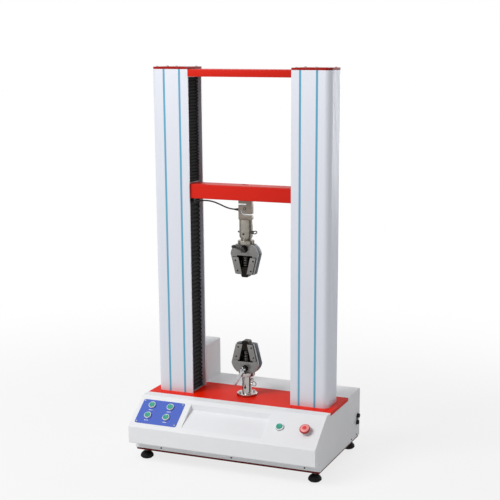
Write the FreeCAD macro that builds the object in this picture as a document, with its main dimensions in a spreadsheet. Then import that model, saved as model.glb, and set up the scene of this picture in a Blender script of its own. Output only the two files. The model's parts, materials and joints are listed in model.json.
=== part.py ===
import FreeCAD, Part
import math
import os

import Sketcher

# Dual-column force testing machine, in millimetres.
# Origin on the floor below the load axis, +X to the right, +Y to the rear, +Z up.

V = FreeCAD.Vector
X_AXIS = V(1, 0, 0)
Y_AXIS = V(0, 1, 0)
Z_AXIS = V(0, 0, 1)

# Driving dimensions
SIZES = {
    # Base case, a folded steel sheet shell
    "case_width": 745,
    "case_front": 263,
    "case_rear": 249,
    "overcut": 4,
    "case_sheet": 2,
    "case_bottom": 48,
    "front_bottom": 82,
    "front_top": 147.5,
    "toe_line": 210,
    "slope_line": 141,
    "table_front": 101,
    "case_fold": 4,
    "table_top": 238,
    "table_thick": 13,
    "table_rear": 104,
    "table_ledge": 26,
    "table_chamfer": 0.8,
    "sheet_gap": 0.3,
    # Bottom tray
    "tray_bottom": 39,
    "tray_sheet": 2,
    "tray_wall": 29,
    "tray_fold": 3,
    # Levelling feet
    "foot_inset": 30.5,
    "foot_across": "=case_width / 2 - foot_inset",
    "foot_front_inset": 85,
    "foot_front": "=case_front - foot_front_inset",
    "foot_rear_inset": 43,
    "foot_rear": "=case_rear - foot_rear_inset",
    "foot_radius": 25,
    "foot_pad": 28,
    "foot_sole": 19,
    "foot_edge": 6,
    "foot_band": 11,
    "stud_land": 4,
    "stud_radius": 5,
    "stud_length": 34,
    "stud_gap": 0.3,
    "nut_radius": 9,
    "nut_height": 7,
    # Motor tower
    "tower_inset": 12.5,
    "tower_left": "=case_width / 2 - tower_inset",
    "tower_width": 140,
    "tower_right": "=tower_left - tower_width",
    "tower_gap": 0.5,
    "tower_front": "=table_rear + tower_gap",
    "tower_rear_inset": 5,
    "tower_rear": "=case_rear - tower_rear_inset",
    "tower_height": 149,
    "tower_top": "=table_top + tower_height",
    "tower_sheet": 1.5,
    "tower_round": 5,
    # Control panel and recess on the slope
    "panel_inset": 16.5,
    "panel_left": "=case_width / 2 - panel_inset",
    "panel_width": 172,
    "panel_right": "=panel_left - panel_width",
    "panel_upper": 21.5,
    "panel_lower": 131.5,
    "panel_thick": 1.5,
    "panel_round": 7,
    "panel_screw_inset": 7,
    "recess_gap": 23.5,
    "recess_left": "=panel_right - recess_gap",
    "recess_width": 324.5,
    "recess_right": "=recess_width - recess_left",
    "recess_upper": 20,
    "recess_lower": 132,
    "recess_back": 22,
    "recess_lap": 10,
    # Buttons, the emergency stop included
    "button_left_inset": 43.5,
    "button_left": "=panel_left - button_left_inset",
    "button_right_inset": 52,
    "button_right": "=panel_right + button_right_inset",
    "button_upper": 47,
    "button_lower": 95,
    "cap_radius": 11,
    "cap_gap": 0.3,
    "cap_edge": 1,
    "cap_crown": 0.4,
    "cap_proud": 2,
    "cap_travel": 3,
    "bezel_radius": 14.2,
    "bezel_height": 3,
    "barrel_wall": 1.3,
    "barrel_length": 20,
    "start_inset": 159.5,
    "start_across": "=case_width / 2 - start_inset",
    "start_down": 72,
    "start_cap": 12,
    "start_bezel": 16,
    "stop_inset": 57.5,
    "stop_across": "=case_width / 2 - stop_inset",
    "stop_down": 77,
    "stop_collar": 14.5,
    "stop_collar_height": 4,
    "stop_stem": 8,
    "stop_neck": 6,
    "stop_travel": 4,
    "stop_head": 20,
    "stop_head_height": 15,
    "stop_dome": 6,
    "stop_neck_gap": 0.8,
    "stop_neck_depth": 9,
    "stop_hollow": 12.4,
    "stop_waist": 14,
    "stop_waist_height": 4,
    "stop_rim": 1,
    "stop_fit": 0.05,
    # Sockets on the right side
    "socket_upper_back": 222,
    "socket_upper_level": 133,
    "socket_lower_back": 214,
    "socket_lower_level": 108,
    "socket_radius": 9.5,
    "socket_bore": 6.5,
    "socket_proud": 9,
    "socket_floor": 2,
    "socket_core": 3.6,
    "socket_edge": 0.8,
    "earth_back": 160,
    "earth_level": 113,
    "earth_radius": 4,
    "earth_proud": 3,
    # Columns
    "column_inset": 26.5,
    "column_outer": "=case_width / 2 - column_inset",
    "column_width": 146,
    "column_inner": "=column_outer - column_width",
    "column_depth": 120,
    "column_wall": 5,
    "column_top": 1451.5,
    "column_round": 22,
    "insert_near_inset": 33.1,
    "insert_near": "=column_inner + insert_near_inset",
    "insert_spacing": 62.2,
    "insert_far": "=insert_near + insert_spacing",
    "insert_width": 8,
    "insert_depth": 2,
    "insert_gap": 0.1,
    "rib_width": 3,
    "rib_depth": 1.2,
    "rib_pitch": 14,
    "rib_count": 6,
    "top_plate_thick": 8,
    "beam_height": 25.8,
    "beam_wall": 4,
    # Drive inside the columns and the base
    "drive_inset": 62,
    "drive_across": "=column_inner + drive_inset",
    "drive_radius": 16,
    "drive_tail": 145,
    "journal_radius": 10,
    "bearing_fit": 0.05,
    "bearing_thick": 26,
    "bearing_half": 45,
    "rod_inset": 34,
    "rod_across": "=column_outer - rod_inset",
    "rod_radius": 15,
    "rod_fit": 0.3,
    "pulley_level": 152,
    "pulley_height": 22,
    "pulley_radius": 34,
    "pulley_rim": 3,
    "belt_width": 16,
    "belt_thick": 2.5,
    "belt_gap": 0.3,
    "motor_inset": 70,
    "motor_across": "=tower_left - motor_inset",
    "motor_rear_inset": 71,
    "motor_back": "=tower_rear - motor_rear_inset",
    "motor_side": 90,
    "motor_tall": 118,
    "motor_shaft": 9.5,
    "motor_pulley_radius": 20,
    "power_wide": 190,
    "power_deep": 120,
    "power_tall": 62,
    "power_across": 60,
    "post_inset": 8,
    "post_radius": 3,
    "board_gap": 18,
    "board_thick": 1.6,
    # Bellows
    "bellows_inset": 10,
    "bellows_inner": "=column_inner + bellows_inset",
    "bellows_thick": 18,
    "bellows_side_gap": 7,
    "bellows_half": "=column_depth / 2 - bellows_side_gap",
    "bellows_pitch": 8,
    "bellows_fold": 5,
    "bellows_plate": 3,
    "bellows_plate_edge": 3,
    "plate_clear": 2,
    "plate_screw_in": 14,
    "plate_screw_out": 16,
    "plate_screw_step": 4,
    # Crosshead
    "cross_bottom": 986.8,
    "cross_height": 53.1,
    "cross_front": 53,
    "cross_rear": 18,
    "cross_round": 2.5,
    "carriage_gap": 10,
    "carriage_inner": "=bellows_inner + bellows_thick + carriage_gap",
    "carriage_inset": 14,
    "carriage_outer": "=column_outer - carriage_inset",
    "carriage_half": 50,
    "nut_outer": 25,
    "nut_drop": 22,
    # Load train below the crosshead
    "spacer_radius": 17,
    "spacer_height": 4.8,
    "cell_height": 70,
    "cell_bottom": "=cross_bottom - spacer_height - cell_height",
    "cell_width": 50,
    "cell_depth": 24,
    "cell_slit": 4.6,
    "upper_slit_level": 56.5,
    "upper_slit_end": 6,
    "lower_slit_level": 19,
    "lower_slit_turn": 1,
    "lower_slit_rise": 16,
    "cell_boss": 5.5,
    "cell_boss_proud": 1.2,
    "bolt_radius": 6,
    "bolt_gap": 0.3,
    "bolt_head": 11,
    "bolt_head_tall": 10,
    "bolt_engage": 11,
    "gland_rise": 35,
    "gland_level": "=cell_bottom + gland_rise",
    "gland_radius": 6,
    "gland_length": 8,
    "cable_radius": 2.7,
    "clip_length": 12,
    "upper_shank": 16,
    "adapter_length": 77,
    "adapter_bottom": "=cell_bottom - adapter_length",
    "upper_shank_length": 56,
    "upper_shank_top": "=adapter_bottom + upper_shank_length",
    "adapter_radius": 25,
    "adapter_neck": 19,
    "adapter_neck_tall": 3,
    "adapter_cone": 11,
    "shank_end_gap": 2,
    "adapter_bore_top": "=upper_shank_top + shank_end_gap",
    "shank_fit": 0.05,
    "pin_radius": 6,
    "pin_fit": 0.05,
    "pin_drop": 47,
    "pin_tip": 32,
    "pin_nose": 5,
    "pin_tail": 29,
    "ring_wire": 1.3,
    "ring_radius": 7.3,
    "ring_tilt": 35,
    "sight_radius": 3,
    "sight_drop": 52,
    "lock_radius": 31,
    "lock_height": 13.7,
    "lock_gap": 0.3,
    "lock_slot": 7,
    "lock_slot_depth": 4,
    # Foot of the load train on the table
    "flange_radius": 39,
    "flange_thick": 10,
    "socket_tube": 18,
    "socket_tube_height": 78,
    "socket_tube_top": "=table_top + socket_tube_height",
    "lower_shank": 12,
    "lower_shank_rise": 20,
    "lower_shank_bottom": "=table_top + lower_shank_rise",
    "lower_pin_rise": 46,
    "lower_pin_level": "=table_top + lower_pin_rise",
    "lower_sight_rise": 33,
    "lower_sight_level": "=table_top + lower_sight_rise",
    "lower_bore_bottom": "=lower_shank_bottom - shank_end_gap",
    "lower_pin_radius": 4.5,
    "lower_pin_tip": 23,
    "lower_pin_tail": 21,
    "lower_ring_radius": 8.5,
    "lower_ring_tilt": 90,
    "knob_rise": 63,
    "knob_level": "=table_top + knob_rise",
    "knob_radius": 4,
    "knob_proud": 9,
    # Wedge grips
    "grip_height": 112,
    "upper_mouth": "=adapter_bottom - lock_height - lock_gap - grip_height",
    "lower_mouth": "=socket_tube_top + lock_height + lock_gap + grip_height",
    "grip_mouth_half": 38,
    "grip_waist_half": 57,
    "grip_shoulder": 36,
    "grip_waist": "=grip_height - grip_shoulder",
    "grip_top_half": 33,
    "grip_dome": 52,
    "grip_depth": 32,
    "grip_edge": 1,
    "wedge_angle": 13,
    "wedge_mouth": 15,
    "grip_crown": 42,
    "wedge_height": "=grip_height - grip_crown",
    "wedge_gap": 0.1,
    "rail_thick": 4,
    "rail_cover": 6,
    "rail_width": 23,
    "rail_start": 1,
    "rail_end": 7,
    "rail_length": "=wedge_height - rail_start - rail_end",
    "rail_gap": 0.3,
    "rail_screw_radius": 3,
    "rail_screw_head": 1.5,
    "rail_screw_inset": 12,
    "jaw_proud": 11.5,
    "jaw_height": 33,
    "jaw_opening": 0.6,
    "jaw_teeth_pitch": 3,
    "jaw_teeth_depth": 0.5,
    "jaw_nose": 2.5,
    "yoke_thick": 4,
    "yoke_side": 1.5,
    "yoke_gap": 0.3,
    "yoke_rod": 3.5,
    "yoke_rod_drop": 2,
    "yoke_rod_top": "=wedge_height - yoke_rod_drop",
    "yoke_bore_drop": 22.5,
    "yoke_bore_top": "=grip_height - yoke_bore_drop",
    "spring_radius": 5.6,
    "spring_wire": 0.8,
    "spring_turns": 7,
    "spring_end_gap": 0.2,
    "hub_drop": 17,
    "hub_level": "=grip_height - hub_drop",
    "hub_radius": 8,
    "hub_crown": 1,
    "hub_gap": 0.3,
    "hub_pin": 5,
    "hub_pin_fit": 0.05,
    "hub_bar": 4,
    "hub_bar_half": 11,
    "sight_dip": 3,
    "sight_level": "=grip_height - sight_dip",
    "sight_hole": 2.5,
    "sight_deep": 3,
    "handle_thick": 6,
    "handle_root": 8,
    "handle_end": 15,
    "lower_handle_reach": 81,
    "lower_handle_lean": 30,
    "upper_handle_reach": 36,
    "upper_handle_lean": 73,
    "handle_knob": 6,
    # Fasteners that repeat
    "head_radius": 4.5,
    "head_height": 3,
    "small_head_radius": 3,
    "small_head_height": 1.6,
    "thread_radius": 2.5,
    "thread_gap": 0.25,
    "skirt_screw_left": -264,
    "skirt_screw_middle": 25,
    "skirt_screw_right": 314,
    "skirt_screw_level": 57,
    "side_screw_front": 150,
    "side_screw_rear": 215,
    "side_screw_level": 57,
    "flange_bolt_radius": 5,
    "flange_bolt_head": 6,
    "flange_bolt_thread": 3,
}

doc = FreeCAD.newDocument("force_testing_machine")
sheet = doc.addObject("Spreadsheet::Sheet", "Sizes")
for row, (alias, number) in enumerate(SIZES.items(), start=1):
    sheet.set("A%d" % row, alias)
    sheet.set("B%d" % row, str(number))
    sheet.setAlias("B%d" % row, alias)
doc.recompute()


class Size:
    """A length or an angle that keeps its formula on the sheet beside its present value."""

    def __init__(self, formula, value):
        self.formula = formula
        self.value = float(value)

    def __add__(self, other):
        return Size("(%s + %s)" % (self.formula, formula(other)), self.value + value(other))

    def __radd__(self, other):
        return size(other) + self

    def __sub__(self, other):
        return Size("(%s - %s)" % (self.formula, formula(other)), self.value - value(other))

    def __rsub__(self, other):
        return size(other) - self

    def __mul__(self, other):
        return Size("(%s * %s)" % (self.formula, formula(other)), self.value * value(other))

    def __rmul__(self, other):
        return size(other) * self

    def __truediv__(self, other):
        return Size("(%s / %s)" % (self.formula, formula(other)), self.value / value(other))

    def __rtruediv__(self, other):
        return size(other) / self

    def __neg__(self):
        return Size("(-1 * %s)" % self.formula, -self.value)


def size(item):
    """A plain number as a size, or a size as it is."""
    return item if isinstance(item, Size) else Size("(%s)" % float(item), item)


def formula(item):
    return size(item).formula


def value(item):
    return size(item).value


def sine(angle):
    return Size("sin(%s)" % formula(angle), math.sin(math.radians(value(angle))))


def cosine(angle):
    return Size("cos(%s)" % formula(angle), math.cos(math.radians(value(angle))))


def tangent(angle):
    return Size("tan(%s)" % formula(angle), math.tan(math.radians(value(angle))))


def root(item):
    return Size("sqrt(%s)" % formula(item), math.sqrt(value(item)))


class Sizes:
    """Every cell of the sheet, by its alias."""

    def __getattr__(self, alias):
        return Size("Sizes." + alias, sheet.get(alias))


S = Sizes()


# Building blocks

QUARTER = {"X": (Y_AXIS, 90), "Y": (X_AXIS, -90), "Z": (Z_AXIS, 0)}


def bind(thing, **sizes):
    """Ties properties of a piece to the sheet."""
    for name, item in sizes.items():
        thing.setExpression(name, formula(item))
    return thing


def seat(thing, x=0, y=0, z=0, axis=Z_AXIS, angle=0):
    """Puts a piece in its place, and ties that place to the sheet."""
    thing.Placement = FreeCAD.Placement(V(), FreeCAD.Rotation(axis, value(angle)))
    if isinstance(angle, Size):
        thing.setExpression("Placement.Rotation.Angle", formula(angle))
    for letter, item in zip("xyz", (x, y, z)):
        thing.setExpression("Placement.Base." + letter, formula(item))
    return thing


def block(name, x, y, z, wide, deep, tall):
    """A box from its lowest corner."""
    box = doc.addObject("Part::Box", name)
    bind(box, Length=wide, Width=deep, Height=tall)
    return seat(box, x, y, z)


def rod(name, x, y, z, radius, length, along="Z"):
    """A round bar from the middle of its first end."""
    bar = doc.addObject("Part::Cylinder", name)
    bind(bar, Radius=radius, Height=length)
    axis, angle = QUARTER[along]
    return seat(bar, x, y, z, axis, angle)


def group(name, pieces):
    """Separate solids that share one name."""
    together = doc.addObject("Part::Compound", name)
    together.Links = pieces
    return together


def fuse(name, pieces):
    joined = doc.addObject("Part::MultiFuse", name)
    joined.Shapes = pieces
    return joined


def cut(name, base, tools):
    """A piece with one or more tools taken out of it."""
    carved = doc.addObject("Part::Cut", name)
    carved.Base = base
    carved.Tool = tools[0] if len(tools) == 1 else fuse(name + "_tools", tools)
    return carved


def mirrored(name, source, normal=X_AXIS):
    """The same piece on the other side of the load axis."""
    twin = doc.addObject("Part::Mirroring", name)
    twin.Source = source
    twin.Normal = normal
    return twin


def arc_centre(first, last, radius):
    """Centre of an arc that runs anticlockwise, or clockwise for a negative radius."""
    middle = (first + last) / 2
    half = (last - first) / 2
    rise = math.sqrt(max(radius * radius - half.Length ** 2, 0))
    side = V(-half.y, half.x, 0).normalize()
    return middle + side * math.copysign(rise, radius)


def draw(sketch, outline):
    """Closes an outline of points (x, y), or (x, y, radius) where an arc runs to the next one."""
    spots = [V(value(point[0]), value(point[1]), 0) for point in outline]
    offset = sketch.GeometryCount
    ends = []
    for index, point in enumerate(outline):
        first = spots[index]
        last = spots[(index + 1) % len(spots)]
        if len(point) == 2:
            sketch.addGeometry(Part.LineSegment(first, last), False)
            ends.append((1, 2))
            continue
        radius = value(point[2])
        centre = arc_centre(first, last, radius)
        start, stop = (first, last) if radius > 0 else (last, first)
        turn_from = math.atan2(start.y - centre.y, start.x - centre.x)
        turn_to = math.atan2(stop.y - centre.y, stop.x - centre.x)
        circle = Part.Circle(centre, Z_AXIS, abs(radius))
        sketch.addGeometry(Part.ArcOfCircle(circle, turn_from, turn_to), False)
        ends.append((1, 2) if radius > 0 else (2, 1))
    for index, point in enumerate(outline):
        edge = offset + index
        before = offset + (index - 1) % len(outline)
        sketch.addConstraint(Sketcher.Constraint(
            "Coincident", before, ends[index - 1][1], edge, ends[index][0]))
        for kind, item in (("DistanceX", point[0]), ("DistanceY", point[1])):
            rule = sketch.addConstraint(Sketcher.Constraint(
                kind, -1, 1, edge, ends[index][0], value(item)))
            sketch.setExpression("Constraints[%d]" % rule, formula(item))
        if len(point) == 3:
            rule = sketch.addConstraint(Sketcher.Constraint("Radius", edge, abs(value(point[2]))))
            bulge = point[2] if value(point[2]) > 0 else -point[2]
            sketch.setExpression("Constraints[%d]" % rule, formula(bulge))


def sketch_on(body, plane, name, outlines):
    """A sketch on one of the body's own planes."""
    sketch = body.newObject("Sketcher::SketchObject", name)
    support = [item for item in body.Origin.OriginFeatures if item.Role == plane][0]
    sketch.AttachmentSupport = [(support, "")]
    sketch.MapMode = "FlatFace"
    for outline in outlines:
        draw(sketch, outline)
    return sketch


def new_body(name):
    return doc.addObject("PartDesign::Body", name)


def pad(body, plane, name, outlines, length, middle=True):
    """An outline pushed out of its plane, half each way unless told otherwise."""
    feature = body.newObject("PartDesign::Pad", name)
    feature.Profile = sketch_on(body, plane, name + "_outline", outlines)
    feature.Midplane = middle
    bind(feature, Length=length)
    doc.recompute()
    return feature


def pocket(body, plane, name, outlines, length=None):
    """An outline cut through the body both ways, all through or over a length."""
    doc.recompute()
    before = body.Shape.Volume
    feature = body.newObject("PartDesign::Pocket", name)
    feature.Profile = sketch_on(body, plane, name + "_outline", outlines)
    feature.Midplane = True
    if length is None:
        feature.Type = 1
    else:
        bind(feature, Length=length)
    doc.recompute()
    if body.Shape.Volume > before - 0.01:
        raise SystemExit(name + " cuts nothing")
    return feature


def turned(name, outline):
    """A piece turned about its own Z axis from half its section (radius, height)."""
    body = new_body(name)
    feature = body.newObject("PartDesign::Revolution", name + "_turn")
    sketch = sketch_on(body, "XZ_Plane", name + "_section", [outline])
    feature.Profile = sketch
    feature.ReferenceAxis = (sketch, ["V_Axis"])
    feature.Angle = 360
    return body


def edges_where(shape, test):
    """Names of the edges that pass a test."""
    return ["Edge%d" % (i + 1) for i, edge in enumerate(shape.Edges) if test(edge)]


def runs_along(edge, axis):
    """Whether an edge is straight and parallel to an axis."""
    if edge.Curve.TypeId != "Part::GeomLine":
        return False
    return abs(edge.tangentAt(edge.FirstParameter).dot(axis)) > 0.9999


def round_edges(body, name, radius, test, kind="Fillet"):
    """Rounds, or bevels, the edges of a body that pass a test."""
    doc.recompute()
    solid = body.Tip
    feature = body.newObject("PartDesign::" + kind, name)
    feature.Base = (solid, edges_where(solid.Shape, test))
    bind(feature, **{"Radius" if kind == "Fillet" else "Size": radius})
    doc.recompute()
    return feature


def hollow(body, name, wall, open_faces):
    """Turns a solid body into a sheet shell, open at the faces that pass the test."""
    doc.recompute()
    solid = body.Tip
    faces = ["Face%d" % (i + 1) for i, face in enumerate(solid.Shape.Faces) if open_faces(face)]
    feature = body.newObject("PartDesign::Thickness", name)
    feature.Base = (solid, faces)
    feature.Reversed = True
    feature.Join = 1
    bind(feature, Value=wall)
    doc.recompute()
    return feature


def rectangle(left, low, right, high):
    return [(left, low), (right, low), (right, high), (left, high)]


def rounded(left, low, right, high, radius):
    """A rectangle with round corners."""
    return [
        (left + radius, low), (right - radius, low, radius),
        (right, low + radius), (right, high - radius, radius),
        (right - radius, high), (left + radius, high, radius),
        (left, high - radius), (left, low + radius, radius),
    ]


def circle_tools(name, spots, radius, start, length, along="Z"):
    """One round cutting bar at each spot; the spot is (x, y, z) with one entry left as None."""
    bars = []
    for index, spot in enumerate(spots, start=1):
        x, y, z = [start if item is None else item for item in spot]
        bars.append(rod("%s_%d" % (name, index), x, y, z, radius, length, along))
    return bars


# The slope of the case carries the panel: down runs from its top edge, out stands off it

slope_run = S.case_front - S.slope_line
slope_fall = S.table_top - S.front_top
slope_angle = Size(
    "atan(%s / %s)" % (formula(slope_fall), formula(slope_run)),
    math.degrees(math.atan2(value(slope_fall), value(slope_run))))


def slope_spot(down, out):
    """Y and Z of a point on the slope, from its distance down it and its height off it."""
    y = -S.slope_line - down * cosine(slope_angle) - out * sine(slope_angle)
    z = S.table_top - down * sine(slope_angle) + out * cosine(slope_angle)
    return y, z


def on_slope(thing, across, down, out):
    """Seats a piece whose own Z axis stands square to the slope."""
    y, z = slope_spot(down, out)
    return seat(thing, across, y, z, X_AXIS, slope_angle)


def slope_rod(name, across, down, out, radius, length):
    bar = doc.addObject("Part::Cylinder", name)
    bind(bar, Radius=radius, Height=length)
    return on_slope(bar, across, down, out)


# Bottom tray: a folded pan that closes the case from below and carries the feet

half_width = S.case_width / 2
tray_half = half_width - S.case_sheet - S.sheet_gap
tray_front = S.toe_line - S.case_sheet - S.sheet_gap
tray_rear = S.case_rear - S.case_sheet - S.sheet_gap
FEET = {
    "foot_front_left": (-S.foot_across, -S.foot_front),
    "foot_front_right": (S.foot_across, -S.foot_front),
    "foot_rear_left": (-S.foot_across, S.foot_rear),
    "foot_rear_right": (S.foot_across, S.foot_rear),
}

tray = new_body("tray_pan")
tray_outline = rectangle(-tray_half, -tray_front, tray_half, tray_rear)
pad(tray, "XY_Plane", "tray_block", [tray_outline], S.tray_wall, middle=False)
round_edges(tray, "tray_folds", S.tray_fold,
            lambda edge: edge.CenterOfMass.z < value(S.tray_wall) - 0.01)
hollow(tray, "tray_shell", S.tray_sheet,
       lambda face: abs(face.CenterOfMass.z - value(S.tray_wall)) < 0.01)
seat(tray, 0, 0, S.tray_bottom)
tray_holes = circle_tools(
    "tray_hole", [(x, y, None) for x, y in FEET.values()],
    S.stud_radius + S.stud_gap, S.tray_bottom - 1, S.tray_sheet + 2)
cut("bottom_tray", tray, tray_holes)

# Base case: side profile in (Y, Z), folded round the front, the slope and the rear deck

case = new_body("case_shell")
plate_seat = S.table_top - S.table_thick
case_profile = [
    (-S.case_front, S.front_bottom), (-S.toe_line, S.front_bottom),
    (-S.toe_line, S.case_bottom), (S.case_rear, S.case_bottom),
    (S.case_rear, S.table_top), (S.table_rear, S.table_top),
    (S.table_rear, plate_seat), (-S.table_front, plate_seat),
    (-S.table_front, S.table_top), (-S.slope_line, S.table_top), (-S.case_front, S.front_top),
]
pad(case, "YZ_Plane", "case_block", [case_profile], S.case_width)


def is_case_fold(edge):
    """The long folds of the front, of the slope and along the rear deck."""
    middle = edge.CenterOfMass
    at_front = middle.y < value(-S.case_front) + 1 or abs(middle.y + value(S.slope_line)) < 1
    at_rear = middle.y > value(S.case_rear) - 1 and middle.z > value(S.table_top) - 1
    return runs_along(edge, X_AXIS) and (at_front or at_rear)


round_edges(case, "case_folds", S.case_fold, is_case_fold)
hollow(case, "case_walls", S.case_sheet,
       lambda face: abs(face.CenterOfMass.z - value(S.case_bottom)) < 0.01)

PANEL_BUTTONS = {
    "panel_button_1": (-S.button_left, S.button_upper),
    "panel_button_2": (-S.button_right, S.button_upper),
    "panel_button_3": (-S.button_left, S.button_lower),
    "panel_button_4": (-S.button_right, S.button_lower),
}
barrel_radius = S.cap_radius + S.cap_gap + S.barrel_wall
start_barrel = S.start_cap + S.cap_gap + S.barrel_wall
stop_barrel = S.stop_stem + S.stop_fit + S.barrel_wall
hole_gap = S.thread_gap
below_sheet = -S.case_sheet - S.overcut
through_sheet = S.case_sheet + 2 * S.overcut
case_holes = []
for number, (across, down) in enumerate(PANEL_BUTTONS.values(), start=1):
    case_holes.append(slope_rod("button_hole_%d" % number, across, down, below_sheet,
                                barrel_radius + hole_gap, through_sheet))
case_holes.append(slope_rod("start_hole", S.start_across, S.start_down, below_sheet,
                            start_barrel + hole_gap, through_sheet))
case_holes.append(slope_rod("stop_hole", S.stop_across, S.stop_down, below_sheet,
                            stop_barrel + hole_gap, through_sheet))
case_holes.append(block("deck_opening", -half_width + S.table_ledge, -S.table_front + S.table_ledge,
                        plate_seat - S.case_sheet - 1, S.case_width - 2 * S.table_ledge,
                        S.table_front + S.table_rear - 2 * S.table_ledge, S.case_sheet + 2))
case_holes.append(rod("motor_shaft_hole", -S.motor_across, S.motor_back,
                      S.table_top - S.case_sheet - 1, S.motor_shaft + S.overcut, S.case_sheet + 2))

# Recess in the slope: an upright back wall and a floor that is flatter than the slope

top_y, top_z = slope_spot(S.recess_upper, 0)
low_y, low_z = slope_spot(S.recess_lower, 0)
back_y, back_z = slope_spot(S.recess_upper - S.case_sheet / cosine(slope_angle), 0)
lap_y, lap_z = slope_spot(S.recess_lower + S.recess_lap, 0)
recess_middle = (S.recess_right - S.recess_left) / 2
recess_pan = new_body("recess_pan")
pad(recess_pan, "YZ_Plane", "recess_block", [[
    (back_y, top_z - S.recess_back - S.case_sheet), (back_y, back_z), (lap_y, lap_z),
]], S.recess_width + 2 * S.case_sheet)
seat(recess_pan, recess_middle, 0, 0)
recess_space = new_body("recess_space")
pad(recess_space, "YZ_Plane", "recess_hollow", [[
    (top_y, top_z - S.recess_back), (top_y, top_z + S.recess_lap), (low_y, low_z + S.recess_lap),
    (low_y, low_z),
]], S.recess_width)
seat(recess_space, recess_middle, 0, 0)
pressed_case = fuse("pressed_case", [case, recess_pan])
cut("base_case", pressed_case, case_holes + [recess_space])

# Table plate, let in between the lip of the slope and the rear deck

plate = new_body("plate_block")
plate_front = S.table_front - S.sheet_gap
plate_rear = S.table_rear - S.sheet_gap
plate_half = half_width - S.sheet_gap * 5
plate_outline = rectangle(-plate_half, -plate_front, plate_half, plate_rear)
pad(plate, "XY_Plane", "plate_pad", [plate_outline], S.table_thick, middle=False)
round_edges(plate, "plate_chamfer", S.table_chamfer,
            lambda edge: edge.CenterOfMass.z > value(S.table_thick) - 0.01, "Chamfer")
seat(plate, 0, 0, plate_seat)
journal_holes = circle_tools("plate_journal_hole", [(-S.drive_across, 0, None), (S.drive_across, 0, None)],
                             S.journal_radius + S.rod_fit, plate_seat - 1, S.table_thick + 2)
cut("table_plate", plate, journal_holes)

# Motor tower: a sheet cover, open below, that stands on the rear deck

tower = new_body("motor_tower")
tower_outline = rounded(-S.tower_left, S.tower_front, -S.tower_right, S.tower_rear, S.tower_round)
pad(tower, "XY_Plane", "tower_block", [tower_outline], S.tower_top - S.table_top, middle=False)
round_edges(tower, "tower_folds", S.tower_round / 2,
            lambda edge: edge.CenterOfMass.z > value(S.tower_top - S.table_top) - 0.01)
hollow(tower, "tower_shell", S.tower_sheet, lambda face: abs(face.CenterOfMass.z) < 0.01)
seat(tower, 0, 0, S.table_top)

# Control panel, a thin plate on the slope

control = new_body("panel_plate")
panel_outline = rounded(-S.panel_left, -S.panel_lower, -S.panel_right, -S.panel_upper, S.panel_round)
pad(control, "XY_Plane", "panel_pad", [panel_outline], S.panel_thick, middle=False)
on_slope(control, 0, 0, 0)
panel_holes = [
    slope_rod("panel_hole_%d" % number, across, down, -1, barrel_radius + hole_gap,
              S.panel_thick + 2)
    for number, (across, down) in enumerate(PANEL_BUTTONS.values(), start=1)
]
cut("control_panel", control, panel_holes)


# Buttons: a threaded barrel with a rim in the sheet, and a cap that slides in it

def bezel(name, across, down, out, bore, rim, height):
    """A rim with its barrel; its own height 0 is the face that it sits on."""
    barrel = bore + S.barrel_wall
    ring = turned(name, [
        (bore, -S.barrel_length), (barrel, -S.barrel_length), (barrel, 0), (rim, 0),
        (rim, height - 1), (rim - 1, height), (bore, height),
    ])
    return on_slope(ring, across, down, out)


def button(name, across, down, out, radius):
    """A sliding cap with a low crowned face."""
    top = S.bezel_height + S.cap_proud
    cap = turned(name, [
        (0, -S.barrel_length + S.cap_travel), (radius, -S.barrel_length + S.cap_travel),
        (radius, top - S.cap_edge), (radius - S.cap_edge, top - S.cap_crown), (0, top),
    ])
    return on_slope(cap, across, down, out)


bezels = []
for name, (across, down) in PANEL_BUTTONS.items():
    bezels.append(bezel(name.replace("button", "bezel"), across, down, S.panel_thick,
                        S.cap_radius + S.cap_gap, S.bezel_radius, S.bezel_height))
    button(name, across, down, S.panel_thick, S.cap_radius)
bezels.append(bezel("start_bezel_ring", S.start_across, S.start_down, 0,
                    S.start_cap + S.cap_gap, S.start_bezel, S.bezel_height))
button("start_button", S.start_across, S.start_down, 0, S.start_cap)
bezels.append(bezel("stop_collar_ring", S.stop_across, S.stop_down, 0,
                    S.stop_stem + S.stop_fit, S.stop_collar, S.stop_collar_height))
group("button_bezels", bezels)

# Emergency stop: the stem slides in its collar, and the mushroom head twists on the stem

neck_start = S.stop_collar_height + S.stop_travel + S.stop_neck_gap
neck_end = neck_start + S.stop_neck_depth
stem = turned("emergency_stop_stem", [
    (0, -S.barrel_length), (S.stop_stem, -S.barrel_length), (S.stop_stem, neck_start),
    (S.stop_neck, neck_start), (S.stop_neck, neck_end), (0, neck_end),
])
on_slope(stem, S.stop_across, S.stop_down, 0)
head_start = neck_start + S.sheet_gap
head_end = head_start + S.stop_head_height
waist_top = head_start + S.stop_waist_height
neck_bore = S.stop_neck + S.stop_fit
dome_radius = (S.stop_head * S.stop_head + S.stop_dome * S.stop_dome) / (2 * S.stop_dome)
mushroom = turned("emergency_stop_cap", [
    (neck_bore, head_start), (S.stop_hollow, head_start), (S.stop_waist, waist_top),
    (S.stop_head - S.stop_rim, waist_top + S.stop_rim), (S.stop_head, waist_top + 2 * S.stop_rim),
    (S.stop_head, head_end - S.stop_dome, dome_radius), (0, head_end), (0, neck_end + S.sheet_gap),
    (neck_bore, neck_end + S.sheet_gap),
])
on_slope(mushroom, S.stop_across, S.stop_down, 0)

# Round sockets and an earth screw on the right side

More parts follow.
